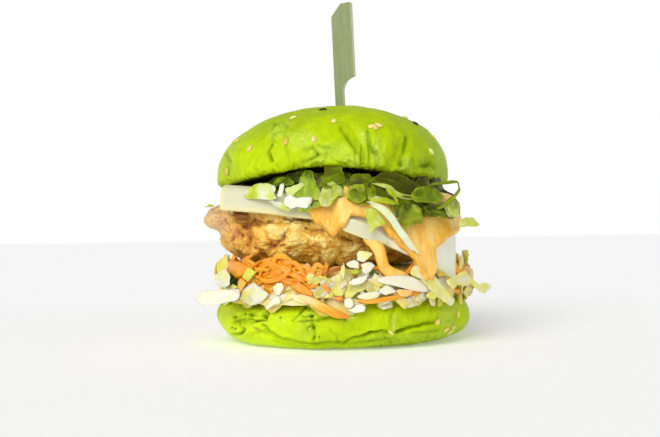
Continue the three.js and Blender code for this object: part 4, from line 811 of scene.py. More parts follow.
def ribbon(path, width, thick, seed, frayed=0.1, curl=0.1, roll=0.0, twist=0.0, ruffle=0.0, taper=0.35,
           crinkle=0.0, slant=0.0, rows=24, ring=14, square=0.34):
    """A strip along a path of points, closed at its ends: its points, faces, and place along and across."""
    even = np.linspace(0, 1, rows)
    u = 0.35 * even + 0.65 * (0.5 - 0.5 * np.cos(pi * even))
    centre, along = spline(path, u)
    out = unit(centre * (1, 1, 0))
    across = unit(np.cross(out, along))
    normal = np.cross(along, across)
    angle = np.radians(roll + twist * (u - 0.5))[:, None]
    across, normal = (np.cos(angle) * across + np.sin(angle) * normal,
                      np.cos(angle) * normal - np.sin(angle) * across)
    length = np.linalg.norm(np.diff(centre, axis=0), axis=1).sum()
    ends = np.abs(2 * u - 1)
    swell = (1 - taper * ends**3) * np.sqrt(clamp(1 - ends**BLUNT))
    phi = 2 * pi * (np.arange(ring) + 0.5) / ring
    t = (np.sign(np.cos(phi)) * np.abs(np.cos(phi)) ** square)[None, :]
    h = (np.sign(np.sin(phi)) * np.abs(np.sin(phi)) ** square)[None, :]
    run = (u * length)[:, None]
    side = np.sign(t)
    nibble = 1 + frayed * noise(run / 1.5 + seed, 3.1 * side + seed, 0.5) * np.abs(t)
    half = 0.5 * width * swell[:, None] * nibble
    wave = ruffle * np.sin(2.2 * pi * u + seed)[:, None] * 2 * t
    wave = wave + frayed * 1.6 * noise(run / 2.2 + 3 * seed, 2.3 * side, 5.5) * np.abs(t) ** 3
    wave = wave + crinkle * noise(run / 2.7 + seed, half * t / 2.4, 3.5 + seed)
    wave = wave + 0.5 * crinkle * noise(run / 1.2 + seed, half * t / 1.1, 9.5 + seed)
    lift = 0.5 * thick * h * swell[:, None] + curl * width * (t * t - 0.4) + wave
    sway = (2 * u - 1)[:, None]
    shear = slant * width * t * sway**3 + 0.5 * frayed * width * noise(t * 2, seed, side) * sway**5
    points = centre[:, None] + across[:, None] * (half * t)[..., None] + normal[:, None] * lift[..., None]
    points = points + along[:, None] * shear[..., None]
    first, last = points[0].mean(0), points[-1].mean(0)
    count = rows * ring
    index = np.arange(count).reshape(rows, ring)
    beside = np.roll(index, -1, 1)
    quads = together(index[:-1], index[1:], beside[1:], beside[:-1]).reshape(-1, 4)
    start = together(np.full(ring, count), index[0], beside[0])
    end = together(np.full(ring, count + 1), beside[-1], index[-1])
    u_all = np.append(np.repeat(u, ring), [0, 1])
    t_all = np.append(np.tile(t[0], rows), [0, 0])
    return np.vstack([points.reshape(-1, 3), first, last]), [quads, np.vstack([start, end])], u_all, t_all


def tinted(strip, start, end, patchy, stain, seed):
    """A strip's part, with its tint and stain worked out along it."""
    points, faces, u, t = strip
    patches = patchy * noise(u * 4 + seed, t * 1.2 + seed, 1.5)
    rim = 0.12 * np.abs(t) ** 3 * (start + end)
    tint = start + (end - start) * u + patches + rim
    stains = stain * (0.75 + 0.5 * noise(u * 3 + seed, t + 2, 8.5))
    shade = np.full(len(u), corner(seed, 2, 3))
    return points, faces, {"tint": clamp(tint), "stain": clamp(stains), "shade": shade}


def rimmed(strip, narrow):
    """A strip's part, with a mark along both its edges."""
    points, faces, _, t = strip
    return points, faces, {"rim": np.abs(t) ** narrow}


def at_front(path):
    return [(x, -sqrt(reach * reach - x * x), z) for x, z, reach in path]


def strips_at_front(table, **shape):
    """The parts of a table's strips."""
    parts = []
    for n, (width, thick, start, end, patchy, stain, frayed, curl, *path) in enumerate(table):
        seed = 3.7 * n + 1
        slant = 1.2 * corner(seed, 1, 2) - 0.6
        taper = 0.1 + 0.7 * corner(seed, 4, 4)
        strip = ribbon(at_front(path), width, thick, seed, frayed, curl, slant=slant, taper=taper, **shape)
        parts.append(tinted(strip, start, end, patchy, stain, seed))
    return parts


def strips_round(count, seed, azimuths, make):
    """Seeded strips laid round the burger. make(draw) gives each one's place, sizes and tints."""
    draw = np.random.default_rng(seed)
    low, high = azimuths
    parts = []
    for n in range(count):
        middle = radians(low + (high - low) * (n + draw.uniform(0, 0.9)) / count)
        kind = make(draw.uniform)
        heading = radians(kind.pop("heading"))
        z, reach, length, ends = (kind.pop(key) for key in ("z", "reach", "length", "ends"))
        start, end, patchy, stain = (kind.pop(key) for key in ("start", "end", "patchy", "stain"))
        bend = draw.uniform(-0.16, 0.16, (4, 2)) * length
        path = []
        for place, (wander, rise) in zip((-0.5, -0.17, 0.17, 0.5), bend):
            angle = middle + (place * length * cos(heading) + wander * 0.5) / reach
            far = reach - ends * (2 * abs(place)) ** 2
            height = z + place * length * sin(heading) + rise
            path.append((far * cos(angle), far * sin(angle), height))
        own = seed + 1.7 * n
        parts.append(tinted(ribbon(path, seed=own, **kind), start, end, patchy, stain, own))
    return parts


# Leaves and shards


def ragged_outline(corners, seed, count, tear):
    """A closed line through corners, turning left, with torn edges."""
    line = np.array(corners, float)
    after = np.roll(line, -1, 0)
    if np.sum(line[:, 0] * after[:, 1] - after[:, 0] * line[:, 1]) < 0:
        line = line[::-1]
    line = np.vstack([line, line[:1]])
    walk = np.append(0, np.cumsum(np.linalg.norm(np.diff(line, axis=0), axis=1)))
    at = np.linspace(0, walk[-1], count, endpoint=False)
    even = np.stack([np.interp(at, walk, line[:, k]) for k in (0, 1)], -1)
    for _ in range(2):
        even = 0.5 * even + 0.25 * (np.roll(even, 1, 0) + np.roll(even, -1, 0))
    torn = []
    for shift in (0.5, 7.5):
        torn.append(0.28 * noise(at / 0.9, seed, shift) + 0.45 * noise(at / 3.3, seed, shift + 3))
    return even + tear * np.stack(torn, -1)


def leaf_part(corners, seed, place, reach, thick, tints, patchy, stain, crumple, count=56, rings=8):
    """A crumpled leaf or a flat shard. place(across, up, reach) sets its points round the burger."""
    outline = ragged_outline(corners, seed, count, 0.5 if thick > STIFF else 1)
    middle = outline.mean(0)
    out = np.sin(np.linspace(0, pi / 2, rings))
    spread = np.concatenate([out, out[-2::-1]])[:, None]
    side = np.concatenate([-np.ones(rings - 1), [0], np.ones(rings - 1)])[:, None]
    flat = middle + (outline - middle)[None] * spread[..., None]
    across, up = flat[..., 0], flat[..., 1]
    low, high = outline[:, 1].min(), outline[:, 1].max()
    rise = clamp((up - low) / (high - low))
    folds = 0.5 - 1.6 * np.abs(noise(across / 4.6 + seed, up / 4.6, 2.5))
    folds = folds + 0.45 * noise(across / 1.9, up / 1.9 + seed, 5.5)
    body = 0.5 * thick * side * np.sqrt(1 - spread**6)
    depth = reach[0] + (reach[1] - reach[0]) * rise + crumple * folds + body
    points = np.stack(place(across, up, depth), -1)
    patches = patchy * noise(across / 4 + seed, up / 4, 1.5)
    veins = 0.14 * bell(noise(across / 3 + seed, up / 3, 4.5), 0.1)
    tint = tints[0] + (tints[1] - tints[0]) * rise + patches - veins - 0.1 * smooth(0.86, 1, spread)
    stains = stain * (0.75 + 0.6 * noise(across / 3, up / 3, 8.5))
    marks = {"tint": clamp(tint), "stain": clamp(stains)}
    marks["shade"] = np.full(tint.shape, corner(seed, 2, 3))
    return ring_part(points, marks)


def in_front(across, up, reach):
    return across, -np.sqrt(reach * reach - across * across), up


def leaves_at_front(table):
    """The parts of a table's leaves or shards."""
    parts = []
    for n, (thick, low, high, patchy, stain, crumple, near, far, *corners) in enumerate(table):
        tints, reach = (low, high), (near, far)
        leaf = leaf_part(corners, 5.3 * n + 2, in_front, reach, thick, tints, patchy, stain, crumple)
        parts.append(leaf)
    return parts


def leaves_round(count, seed, azimuths, make):
    """Seeded leaves laid round the burger. make(draw) gives each one's place, sizes and tints."""
    draw = np.random.default_rng(seed)
    low, high = azimuths
    parts = []
    for n in range(count):
        facing = radians(low + (high - low) * (n + draw.uniform(0, 0.9)) / count)
        kind = make(draw.uniform)
        turn = radians(kind.pop("heading"))
        z, length, width = (kind.pop(key) for key in ("z", "length", "width"))
        around = np.arange(LEAF_CORNERS) * 2 * pi / LEAF_CORNERS
        around = around + draw.uniform(-0.3, 0.3, LEAF_CORNERS)
        far = draw.uniform(0.6, 1.1, LEAF_CORNERS)
        a, b = 0.5 * length * far * np.cos(around), 0.5 * width * far * np.sin(around)
        c, s = cos(turn), sin(turn)
        corners = together(a * c - b * s, z + a * s + b * c)

        def place(across, up, reach):
            angle = facing + across / HEAP_REACH
            return reach * np.cos(angle), reach * np.sin(angle), up

        parts.append(leaf_part(corners, seed + 1.7 * n, place, count=40, rings=5, **kind))
    return parts


# Meshes


def add_object(name, data):
    thing = bpy.data.objects.new(name, data)
    bpy.context.scene.collection.objects.link(thing)
    return thing


def make_piece(name, parts, finish, slot, *nodes):
    """Joins parts into one mesh with smooth faces, and sets it on the frame."""
    points = np.vstack([part[0] for part in parts])
    offsets = np.cumsum([0] + [len(part[0]) for part in parts])
    faces = [f + offset for part, offset in zip(parts, offsets) for f in part[1]]
    sizes = np.concatenate([np.full(len(f), f.shape[1]) for f in faces])
    corners = np.concatenate([f.ravel() for f in faces])
    mesh = bpy.data.meshes.new(name)
    mesh.vertices.add(len(points))
    mesh.vertices.foreach_set("co", ((points - (0, 0, STAND)) * MM).ravel())
    mesh.loops.add(len(corners))
    mesh.loops.foreach_set("vertex_index", corners)
    mesh.polygons.add(len(sizes))
    mesh.polygons.foreach_set("loop_start", np.cumsum(sizes) - sizes)
    mesh.polygons.foreach_set("use_smooth", np.ones(len(sizes), bool))
    mesh.update(calc_edges=True)
    for key in parts[0][2]:
        layer = mesh.attributes.new(key, "FLOAT", "POINT")
        layer.data.foreach_set("value", np.concatenate([part[2][key] for part in parts]))
    piece = add_object(name, mesh)
    mesh.materials.append(finish)
    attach(piece, BODY)
    if nodes:
        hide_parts(*nodes)


def seed_shape():
    """A sesame seed: a flat drop with one pointed end, its rows of points round the upright axis."""
    theta = np.arange(16) * 2 * pi / 16
    climb = np.sin(np.linspace(-pi / 2, pi / 2, 9))[:, None]
    r = np.sqrt(1 - climb * climb)
    pinch = 1 - 0.35 * np.cos(theta) * r
    x = 0.5 * SEED[0] * r * np.cos(theta)
    y = 0.5 * SEED[1] * pinch * r * np.sin(theta)
    z = 0.5 * SEED[2] * climb * np.where(climb > 0, 1, 0.6) + 0 * theta
    return together(x, y, z)


def seed_parts(grid, normals, front_spots, climbs, count):
    """Seeds set on a skin: the ones seen from the front, then others spread over the rest of it."""
    x, z, front = front_view(grid)
    facing = front > 0.5
    spots = []
    for across, up, spin, dark in front_spots:
        gap = np.hypot(x - across, z - up) + np.where(facing, 0, 1e3)
        row, column = np.unravel_index(np.argmin(gap), gap.shape)
        spots.append((row, column, spin, dark))
    azimuth = turn_from(np.degrees(lap(grid.shape[1])), 0)
    low, high = climbs
    for n in range(count):
        wanted = turn_from(n * GOLDEN_ANGLE, 0)
        if SEEDED_BY_TABLE[0] < wanted < SEEDED_BY_TABLE[1]:
            continue
        column = int(np.argmin(np.abs(turn_from(azimuth, wanted))))
        row = int(low + (high - low) * sqrt((n + 0.5) / count))
        spots.append((row, column, (n * 73) % 180, n % 9 == 4))
    parts = []
    for row, column, spin, dark in spots:
        up = normals[row, column]
        east = unit(np.cross((0, 0, 1), up))
        north = np.cross(up, east)
        c, s = cos(radians(spin)), sin(radians(spin))
        axes = np.stack([c * east + s * north, c * north - s * east, up])
        drop = seed_shape() @ axes + grid[row, column] + 0.15 * SEED[2] * up
        shade = np.full(drop.shape[:2], corner(row, column, 1))
        parts.append(ring_part(drop, {"dark": np.full(drop.shape[:2], float(dark)), "shade": shade}))
    return parts


# Finishes


def paint(red, green, blue):
    """A colour as seen on a screen, 0 to 255, as Blender's linear colour."""
    shares = (red / 255, green / 255, blue / 255)
    return tuple(((c + 0.055) / 1.055) ** 2.4 if c > 0.04 else c / 12.92 for c in shares)


class Signal:
    """A number that varies over a surface. Arithmetic on it adds the Math nodes."""

    def __init__(self, finish, socket):
        self.finish = finish
        self.socket = socket

    def math(self, operation, first, second=0.0):
        node = self.finish.node("Math", {"operation": operation}, {0: first, 1: second})
        return Signal(self.finish, node.outputs[0])

    def __add__(self, other):
        return self.math("ADD", self, other)

    def __mul__(self, other):
        return self.math("MULTIPLY", self, other)

    def __sub__(self, other):
        return self.math("SUBTRACT", self, other)

    def __rsub__(self, other):
        return self.math("SUBTRACT", other, self)

    __radd__ = __add__
    __rmul__ = __mul__

    def between(self, low, high):
        """0 up to low, 1 from high on, and smooth between."""
        settings = {"interpolation_type": "SMOOTHSTEP", "clamp": True}
        node = self.finish.node("MapRange", settings, {"Value": self, "From Min": low, "From Max": high})
        return Signal(self.finish, node.outputs["Result"])


class Nodes:
    """A node tree in the making."""

    def __init__(self, tree):
        self.tree = tree
        tree.nodes.clear()

    def node(self, kind, settings, values):
        """Adds a node: its settings, then the values or links of its sockets, by name or number."""
        node = self.tree.nodes.new("ShaderNode" + kind)
        for key, value in settings.items():
            if key == "stops":
                self.set_stops(node.color_ramp, value)
            else:
                setattr(node, key, value)
        for key, value in values.items():
            socket = node.inputs[key]
            if isinstance(value, Signal):
                value = value.socket
            if isinstance(value, bpy.types.NodeSocket):
                self.tree.links.new(value, socket)
            elif socket.type == "RGBA":
                socket.default_value = (*value[:3], 1)
            else:
                socket.default_value = value
        return node

    def set_stops(self, ramp, stops):
        while len(ramp.elements) < len(stops):
            ramp.elements.new(1)
        for element, (position, colour) in zip(ramp.elements, stops):
            element.position = position
            element.color = (*colour, 1)


class Finish(Nodes):
    """A material in the making, with its textures measured in millimetres."""

    def __init__(self, name):
        self.material = bpy.data.materials.new(name)
        self.material.use_nodes = True
        super().__init__(self.material.node_tree)
        place = self.node("TexCoord", {}, {}).outputs["Object"]
        self.place = self.node("VectorMath", {"operation": "SCALE"}, {0: place, "Scale": 1 / MM}).outputs[0]

    def mark(self, name):
        """A number kept at each point of the mesh."""
        return Signal(self, self.node("Attribute", {"attribute_name": name}, {}).outputs["Fac"])

    def grain(self, size, detail=3.0, stretch=(1, 1, 1)):
        """Noise from 0 to 1 with lumps about size across, in millimetres."""
        scale = tuple(1 / (size * s) for s in stretch)
        place = self.node("VectorMath", {"operation": "MULTIPLY"}, {0: self.place, 1: scale}).outputs[0]
        values = {"Vector": place, "Scale": 1.0, "Detail": detail, "Roughness": 0.55}
        return Signal(self, self.node("TexNoise", {}, values).outputs["Fac"])

    def pores(self, size):
        """How far the nearest of a scatter of points is, as a share of size, their millimetres apart."""
        values = {"Vector": self.place, "Scale": 1 / size}
        return Signal(self, self.node("TexVoronoi", {}, values).outputs["Distance"])

    def ramp(self, signal, stops):
        return self.node("ValToRGB", {"stops": stops}, {"Fac": signal}).outputs["Color"]

    def mix(self, first, second, share):
        """The first colour, turning into the second as share goes from 0 to 1."""
        settings = {"data_type": "RGBA"}
        return self.node("Mix", settings, {0: share, 6: first, 7: second}).outputs[2]

    def bump(self, height, distance):
        """Relief from a height of 0 to 1, distance millimetres deep."""
        values = {"Height": height, "Distance": distance * MM, "Strength": 1.0}
        return self.node("Bump", {}, values).outputs[0]

    def surface(self, values):
        shader = self.node("BsdfPrincipled", {}, values)
        self.node("OutputMaterial", {}, {"Surface": shader.outputs[0]})
        return self.material


def soft(weight, radius):
    """The values that let light into a surface, its reach in metres in red, green and blue."""
    return {"Subsurface Weight": weight, "Subsurface Radius": radius, "Subsurface Scale": 1.0}


def bun_finish(name, look):
    """Baked green dough: a smooth skin with paler scuffs and painted highlights on its ridges, painted
    shade in its creases, a painted lighter side, and a pored, olive cut face in painted shade, darker still
    in its pores.
    """
    dough = Finish(name)
    crease, scuff, crumb = dough.mark("crease"), dough.mark("scuff"), dough.mark("crumb")
    broad = dough.grain(22, 2).between(0.32, 0.68)
    mottle = dough.grain(3.2, 4).between(0.3, 0.75)
    colour = dough.mix(look.skin_deep, look.skin, broad)
    colour = dough.mix(colour, look.skin_light, mottle * 0.35)
    flakes = dough.grain(1.1, 3).between(0.42, 0.6)
    # pale scuffed skin, and painted highlights along the crown's ridges
    colour = dough.mix(colour, look.scuff, scuff * (0.25 + 0.5 * flakes))
    streaks = dough.grain(1.9, 3, (1, 1, 3)).between(0.45, 0.75)
    colour = dough.mix(colour, look.skin_deep, streaks * 0.5)
    # painted light: the heel is made lighter towards its left, where the key light falls
    colour = dough.mix(colour, look.skin_light, dough.mark("flank") * 0.9)
    # painted shade: the crease colour darkens the skin in its creases, pits and cracks, and over the
    # crown's right side
    colour = dough.mix(colour, look.crease, crease * 0.85)
    # painted shade: the cut face takes the dark olive it shows in the shade under the bun, and its pores
    # are darker still
    holes = dough.pores(1.5).between(0.5, 0.15)
    shaded_crumb_colour = dough.mix(look.crumb, look.crumb_pore_shade, holes)
    colour = dough.mix(colour, shaded_crumb_colour, crumb)
    height = dough.grain(0.8, 3) * 0.4 + dough.grain(2.6, 3) * 0.5 + (scuff * flakes) * 0.4 - streaks * 0.3
    height = height - (crumb * holes) * 1.4
    rough_skin = 0.38 + mottle * 0.12 + scuff * 0.22 + crumb * 0.3
    return dough.surface({
        "Base Color": colour, "Roughness": rough_skin, "Normal": dough.bump(height, 0.5),
        "Specular IOR Level": 0.07, **soft(0.1, (0.0016, 0.002, 0.0006)),
    })


def seed_finish():
    """Toasted sesame: pale hulls with a warmer end, and a few dark ones."""
    hull = Finish("toasted_sesame")
    shade, dark = hull.mark("shade"), hull.mark("dark")
    mottle = hull.grain(0.9, 2)
    colour = hull.ramp(shade * 0.6 + mottle * 0.4, (
        (0.15, paint(226, 190, 74)), (0.5, paint(242, 232, 150)), (0.85, paint(206, 166, 50)),
    ))
    colour = hull.mix(colour, paint(40, 38, 12), dark)
    return hull.surface({"Base Color": colour, "Roughness": 0.42, "Normal": hull.bump(mottle, 0.08)})


def crust_finish(look):
    """Fried crust: golden sides, with painted shade making the crevices brown and dark and painted
    highlights making the crests pale; glossy.
    """
    crust = Finish("fried_crust")
    relief, crease, pale = crust.mark("relief"), crust.mark("crease"), crust.mark("pale")
    speckle = crust.grain(1.3, 4)
    drift = crust.grain(9, 2)
    level = relief * 0.7 + speckle * 0.5 + drift * 0.3 - 0.18 - crust.mark("toast") * 0.34
    # painted shade and highlight: low relief takes the brown and crevice colours, high relief the pale
    # crest and flake colours
    colour = crust.ramp(level, (
        (0.12, look.crevice_shade), (0.3, look.brown), (0.5, look.golden), (0.72, look.crest_highlight), (0.92, look.flake_and_highlight),
    ))
    amber = crust.grain(4.2, 2).between(0.5, 0.72)
    colour = crust.mix(colour, look.amber, amber * 0.5)
    colour = crust.mix(colour, look.pale, pale * (0.45 + 0.5 * speckle))
    # painted shade in the creases and between the nodules
    colour = crust.mix(colour, look.crevice_shade, crease.between(0.25, 0.9) * 0.75)
    specks = crust.pores(3.1).between(0.16, 0.1)
    colour = crust.mix(colour, paint(96, 52, 12), specks * 0.8)
    height = speckle * 0.8 + crust.grain(0.6, 3) * 0.7
    return crust.surface({
        "Base Color": colour, "Roughness": 0.3 + speckle * 0.35, "Normal": crust.bump(height, 0.7),
        "Coat Weight": 0.2, "Coat Roughness": 0.2, **soft(0.08, (0.002, 0.0012, 0.0005)),
    })


def cheese_finish(name, body, shade, edge):
    """Mild melted cheese: smooth, a little see-through at its edges."""
    curd = Finish(name)
    rim = curd.mark("rim")
    cloud = curd.grain(14, 3).between(0.35, 0.65)
    colour = curd.mix(body, shade, cloud * 0.6)
    colour = curd.mix(colour, edge, rim * 0.75)
    height = curd.grain(7, 2) * 0.7 + curd.grain(1.2, 2) * 0.2
    return curd.surface({
        "Base Color": colour, "Roughness": 0.34 + cloud * 0.12, "Normal": curd.bump(height, 0.4),
        **soft(0.35, (0.004, 0.0034, 0.0018)),
    })


def sauce_finish(look):
    """A creamy orange dressing, glossy, deeper in colour where it is thin."""
    cream = Finish("orange_dressing")
    rim = cream.mark("rim")
    swirl = cream.grain(6, 3, (1, 1, 2.2)).between(0.35, 0.7)
    colour = cream.mix(look.body, look.light, swirl)
    colour = cream.mix(colour, look.deep, rim * 0.55)
    specks = cream.pores(2.6).between(0.12, 0.07)
    colour = cream.mix(colour, paint(178, 96, 22), specks * 0.7)
    height = cream.grain(5, 2) * 0.8 + cream.grain(1.4, 2) * 0.2
    return cream.surface({
        "Base Color": colour, "Roughness": 0.24 + swirl * 0.1, "Normal": cream.bump(height, 0.5),
        **soft(0.25, (0.003, 0.002, 0.0008)),
    })


def leaf_finish(name, stops, stain_colour, wet):
    """Shredded leaf: white ribs to dark green blades by tint, with fibres, stains and a faint gloss."""
    leaf = Finish(name)
    tint, stain, shade = leaf.mark("tint"), leaf.mark("stain"), leaf.mark("shade")
    fibre = leaf.grain(1.6, 3, (1, 1, 1.6))
    colour = leaf.ramp(tint + (fibre - 0.5) * 0.2 + (shade - 0.5) * 0.06, stops)
    colour = leaf.mix(colour, stain_colour, stain * 0.8)
    height = fibre * 0.7 + leaf.grain(4.5, 2) * 0.6
    return leaf.surface({
        "Base Color": colour, "Roughness": wet + fibre * 0.2, "Normal": leaf.bump(height, 0.35),
        "Specular IOR Level": 0.16, **soft(0.45, (0.0034, 0.0034, 0.0009)),
    })


def carrot_finish(look):
    """Grated carrot: orange to peach by tint, with a fine grain."""
    root = Finish("grated_carrot")
    tint, stain = root.mark("tint"), root.mark("stain")
    fibre = root.grain(1.2, 3)
    colour = root.ramp(tint + (fibre - 0.5) * 0.35, (
        (0.0, look.deep), (0.3, look.bright), (0.65, look.pale), (1.0, look.peach),
    ))
    colour = root.mix(colour, paint(120, 56, 22), stain)
    return root.surface({
        "Base Color": colour, "Roughness": 0.26 + fibre * 0.25, "Normal": root.bump(fibre, 0.3),
        "Coat Weight": 0.2, "Coat Roughness": 0.2, **soft(0.15, (0.003, 0.0014, 0.0005)),
    })


def bamboo_finish(look):
    """Green bamboo: long fine fibres, mottled, and pale on its cut side faces, partly the cut fibre's own
    colour and partly a painted highlight of the key light.
    """
    cane = Finish("green_bamboo")
    edge = cane.mark("edge")
    fibre = cane.grain(0.5, 3, (1, 1, 26))
    mottle = cane.grain(2.4, 4, (1, 1, 1.6)).between(0.35, 0.7)
    colour = cane.mix(look.face, look.fibre, fibre.between(0.4, 0.7) * 0.6)
    colour = cane.mix(colour, look.mottle, mottle * 0.55)
    # pale side faces: the cut fibre's colour, and a painted highlight of the key light
    colour = cane.mix(colour, look.edge, edge)
    return cane.surface({
        "Base Color": colour, "Roughness": 0.5 + fibre * 0.15, "Normal": cane.bump(fibre, 0.12),
        "Specular IOR Level": 0.35,
    })


# Settings that a user would change


def swatch(name, description, red, green, blue):
    default = paint(red, green, blue)
    return FloatVectorProperty(
        name=name, description=description, default=default, size=3, min=0, max=1, subtype="COLOR"
    )


def amount(name, description, default, least=0):
    """A whole number where the default is whole, and otherwise a share or a strength."""
    kind = IntProperty if isinstance(default, int) else FloatProperty
    return kind(name=name, description=description, default=default, min=least)


def width_setting(name, description, millimetres):
    return FloatProperty(name=name, description=description, default=millimetres * MM, unit="LENGTH")


class BunLook(bpy.types.PropertyGroup):
    skin: swatch("Skin", "Main colour of the baked skin", 181, 207, 8)
    skin_deep: swatch("Deep skin", "Skin where the dough is denser", 161, 187, 2)
    skin_light: swatch("Light skin", "Pale mottling on the skin", 206, 232, 26)
    scuff: swatch("Scuff", "Dough where the skin has rubbed off", 208, 232, 92)
    # painted shade colour for the bottom of the creases, pits and cracks
    crease: swatch("Crease", "Bottom of the creases", 74, 110, 4)
    # the cut face's colours are painted in its shade
    crumb: swatch("Crumb", "Cut face of the bun", 60, 66, 1)
    crumb_pore_shade: swatch("Crumb pores", "Inside of the pores", 38, 44, 2)
    relief: amount("Relief", "Depth of the fine creases, as a share", 1.4)


class ChickenLook(bpy.types.PropertyGroup):
    golden: swatch("Golden", "Main colour of the crust", 226, 168, 52)
    # the crest and flake colours serve as painted highlights, and the crevice colour as painted shade
    crest_highlight: swatch("Crest", "Crests of the crust", 246, 200, 82)
    flake_and_highlight: swatch("Flake", "Palest flakes", 253, 232, 142)
    amber: swatch("Amber", "Darker fried patches", 238, 158, 20)
    brown: swatch("Brown", "Sides of the crevices", 192, 116, 20)
    crevice_shade: swatch("Crevice", "Bottom of the crevices", 124, 52, 6)
    pale: swatch("Pale lobe", "Lightly fried lobe", 240, 206, 158)
    nodule: width_setting("Nodule", "Width of the crust's lumps", 3.0)


class CheeseLook(bpy.types.PropertyGroup):
    # one cheese in lit and shaded copies: the left slice's colours are darkened for the key light falling
    # on it, and the right slice's are lightened for its shade, and are also a little less yellow
    body: swatch("Left slice", "Main colour of the left slice", 210, 208, 182)
    shade: swatch("Left cloud", "Yellower clouds in the left slice", 208, 204, 162)
    white: swatch("Right slice", "Main colour of the right slice", 248, 251, 232)
    right_cloud_lightened: swatch("Right cloud", "Clouds in the right slice", 240, 245, 220)
    rim: swatch("Rim", "Colour of a slice's edge", 232, 220, 150)


class SauceLook(bpy.types.PropertyGroup):
    body: swatch("Sauce", "Main colour of the sauce", 238, 176, 50)
    light: swatch("Light", "Swirls in the sauce", 250, 210, 112)
    deep: swatch("Deep", "Sauce at its edges", 236, 164, 34)


class SlawLook(bpy.types.PropertyGroup):
    cabbage: amount("Cabbage", "Number of scattered cabbage strips", 70)
    leaves: amount("Leaves", "Number of scattered cabbage leaves", 54)
    carrots: amount("Carrot", "Number of scattered carrot shreds", 70)
    greens: amount("Greens", "Number of scattered green shreds", 22)
    deep: swatch("Deep carrot", "Darkest carrot", 232, 136, 6)
    bright: swatch("Bright carrot", "Main colour of the carrot", 240, 156, 8)
    pale: swatch("Pale carrot", "Paler carrot", 246, 180, 44)
    peach: swatch("Peach carrot", "Carrot under dressing", 248, 212, 158)


class LettuceLook(bpy.types.PropertyGroup):
    leaves: amount("Leaves", "Number of scattered lettuce leaves", 64)
    stain: swatch("Olive", "Wilted, olive leaf", 92, 86, 6)


class PickLook(bpy.types.PropertyGroup):
    face: swatch("Face", "Face of the bamboo", 140, 150, 104)
    fibre: swatch("Fibre", "Darker fibres", 116, 127, 82)
    mottle: swatch("Mottle", "Mottled patches", 127, 140, 92)
    # pale side faces, partly a painted highlight of the key light
    edge: swatch("Edge", "Cut edges", 214, 216, 186)
    bevel: width_setting("Bevel", "Rounding of the edges", 0.3)


class StageLook(bpy.types.PropertyGroup):
    floor: swatch("Floor", "Colour of the floor", 250, 250, 250)
    glow: amount("Floor glow", "Light that the floor gives off", 0.2)
    key: amount("Key light", "Strength of the key light", 2.0)
    softness: amount("Softness", "Angle that the key light spans, in degrees", 38.0, 1)
    walls: amount("Walls", "Strength of the white walls", 1.0)
    ceiling: amount("Ceiling", "Strength of the ceiling", 0.3)
    lens: FloatProperty(name="Lens", description="Focal length", default=51.33, unit="CAMERA")


# Operators


def bake(name, grid, marks, look, spots, rows, count):
    """Makes a half of the bun and sets its seeds."""
    skin = bun_finish(name + "_dough", look)
    make_piece(name + "_skin", [ring_part(grid, marks)], skin, "bun", "bun_" + name)
    seeds = seed_parts(grid, ring_normals(grid), spots, rows, count)
    make_piece(name + "_seeds", seeds, seed_finish(), "seed")


class BURGER_OT_crown(bpy.types.Operator):
    """Bakes the bun crown and sets its seeds"""

    bl_idname = "burger.crown"
    bl_label = "Bun crown"

    def execute(self, context):
        look = context.scene.burger_bun
        climbs = np.concatenate([
            np.linspace(-1, CUT_END, 20), np.linspace(CUT_END, 0, 14)[1:], np.linspace(0, 1, 120)[1:],
        ])
        theta = lap(440)[None, :]
        grid = crown_point(theta, climbs[:, None])
        normals = ring_normals(grid)
        side = smooth(-0.2, -0.02, climbs)[:, None]
        x, z, front = front_view(grid)
        depth, crease = line_marks(grid, CROWN_CREASES)
        stand, scuff = patch_marks(grid, CROWN_SCUFFS, 0.8)
        ridges = np.sin(x * 2.3 + 0.8 * noise(x / 3, z / 4, 0.5))
        ridges = ridges * bell(x - 10.5, 7) * bell(z - 84, 6) * front
        crinkle = np.abs(noise(x / 2.2, z / 1.6, 3.5)) * bell(x - 34, 5) * bell(z - 79, 4) * front
        wrinkle = np.abs(noise(x / 2.6, z / 1.8, 6.5)) * bell(x + 26, 6) * bell(z - 95, 5) * front
        pits = rough(grid, 2.4, 2) * 0.12 + 0.3 * rough(grid, 8, 2)
        out = stand + 0.45 * ridges - 0.9 * crinkle - 0.6 * wrinkle + pits - look.relief * depth
        pick_gap = np.hypot(grid[..., 0] - PICK.x - 1.2, grid[..., 1])
        out = out - 1.6 * bell(pick_gap, 4.5) * (z > 95)
        lip = bell(climbs + 0.1, 0.11)[:, None]
        ragged = lip * (0.75 * rough(grid, 2.2, 2) + 0.5 * noise(theta * 70, 0, 2.5))
        grid = grid + normals * (side * out)[..., None]
        grid[..., 2] -= np.clip(ragged, -0.6, 1.4) + 1.4 * lip * bell(x + 26, 2.2) * front
        # painted shade, added to the crease mark: round the pick's hole, in the crinkles and wrinkles, and
        # over the right side and a low band there, which turn from the light
        dip = bell(pick_gap, 4) * (z > 95) * 0.7
        shaded = (0.12 * smooth(10, 46, x) + 0.14 * bell(z - 78, 4) * smooth(5, 30, x)) * front
        crease = np.maximum(crease * side, dip) + 0.5 * crinkle + 0.4 * wrinkle + shaded
        marks = {
            "crease": clamp(crease),
            # painted highlight along the ridges' crests, added to the scuffed patches
            "scuff": clamp(scuff * side * 0.9 + 0.35 * np.maximum(ridges, 0)),
            "crumb": np.broadcast_to(1 - smooth(-0.24, -0.14, climbs)[:, None], z.shape),
            "flank": np.zeros(z.shape),
        }
        bake("crown", grid, marks, look, CROWN_SEEDS, (140, 62), 34)
        return {"FINISHED"}


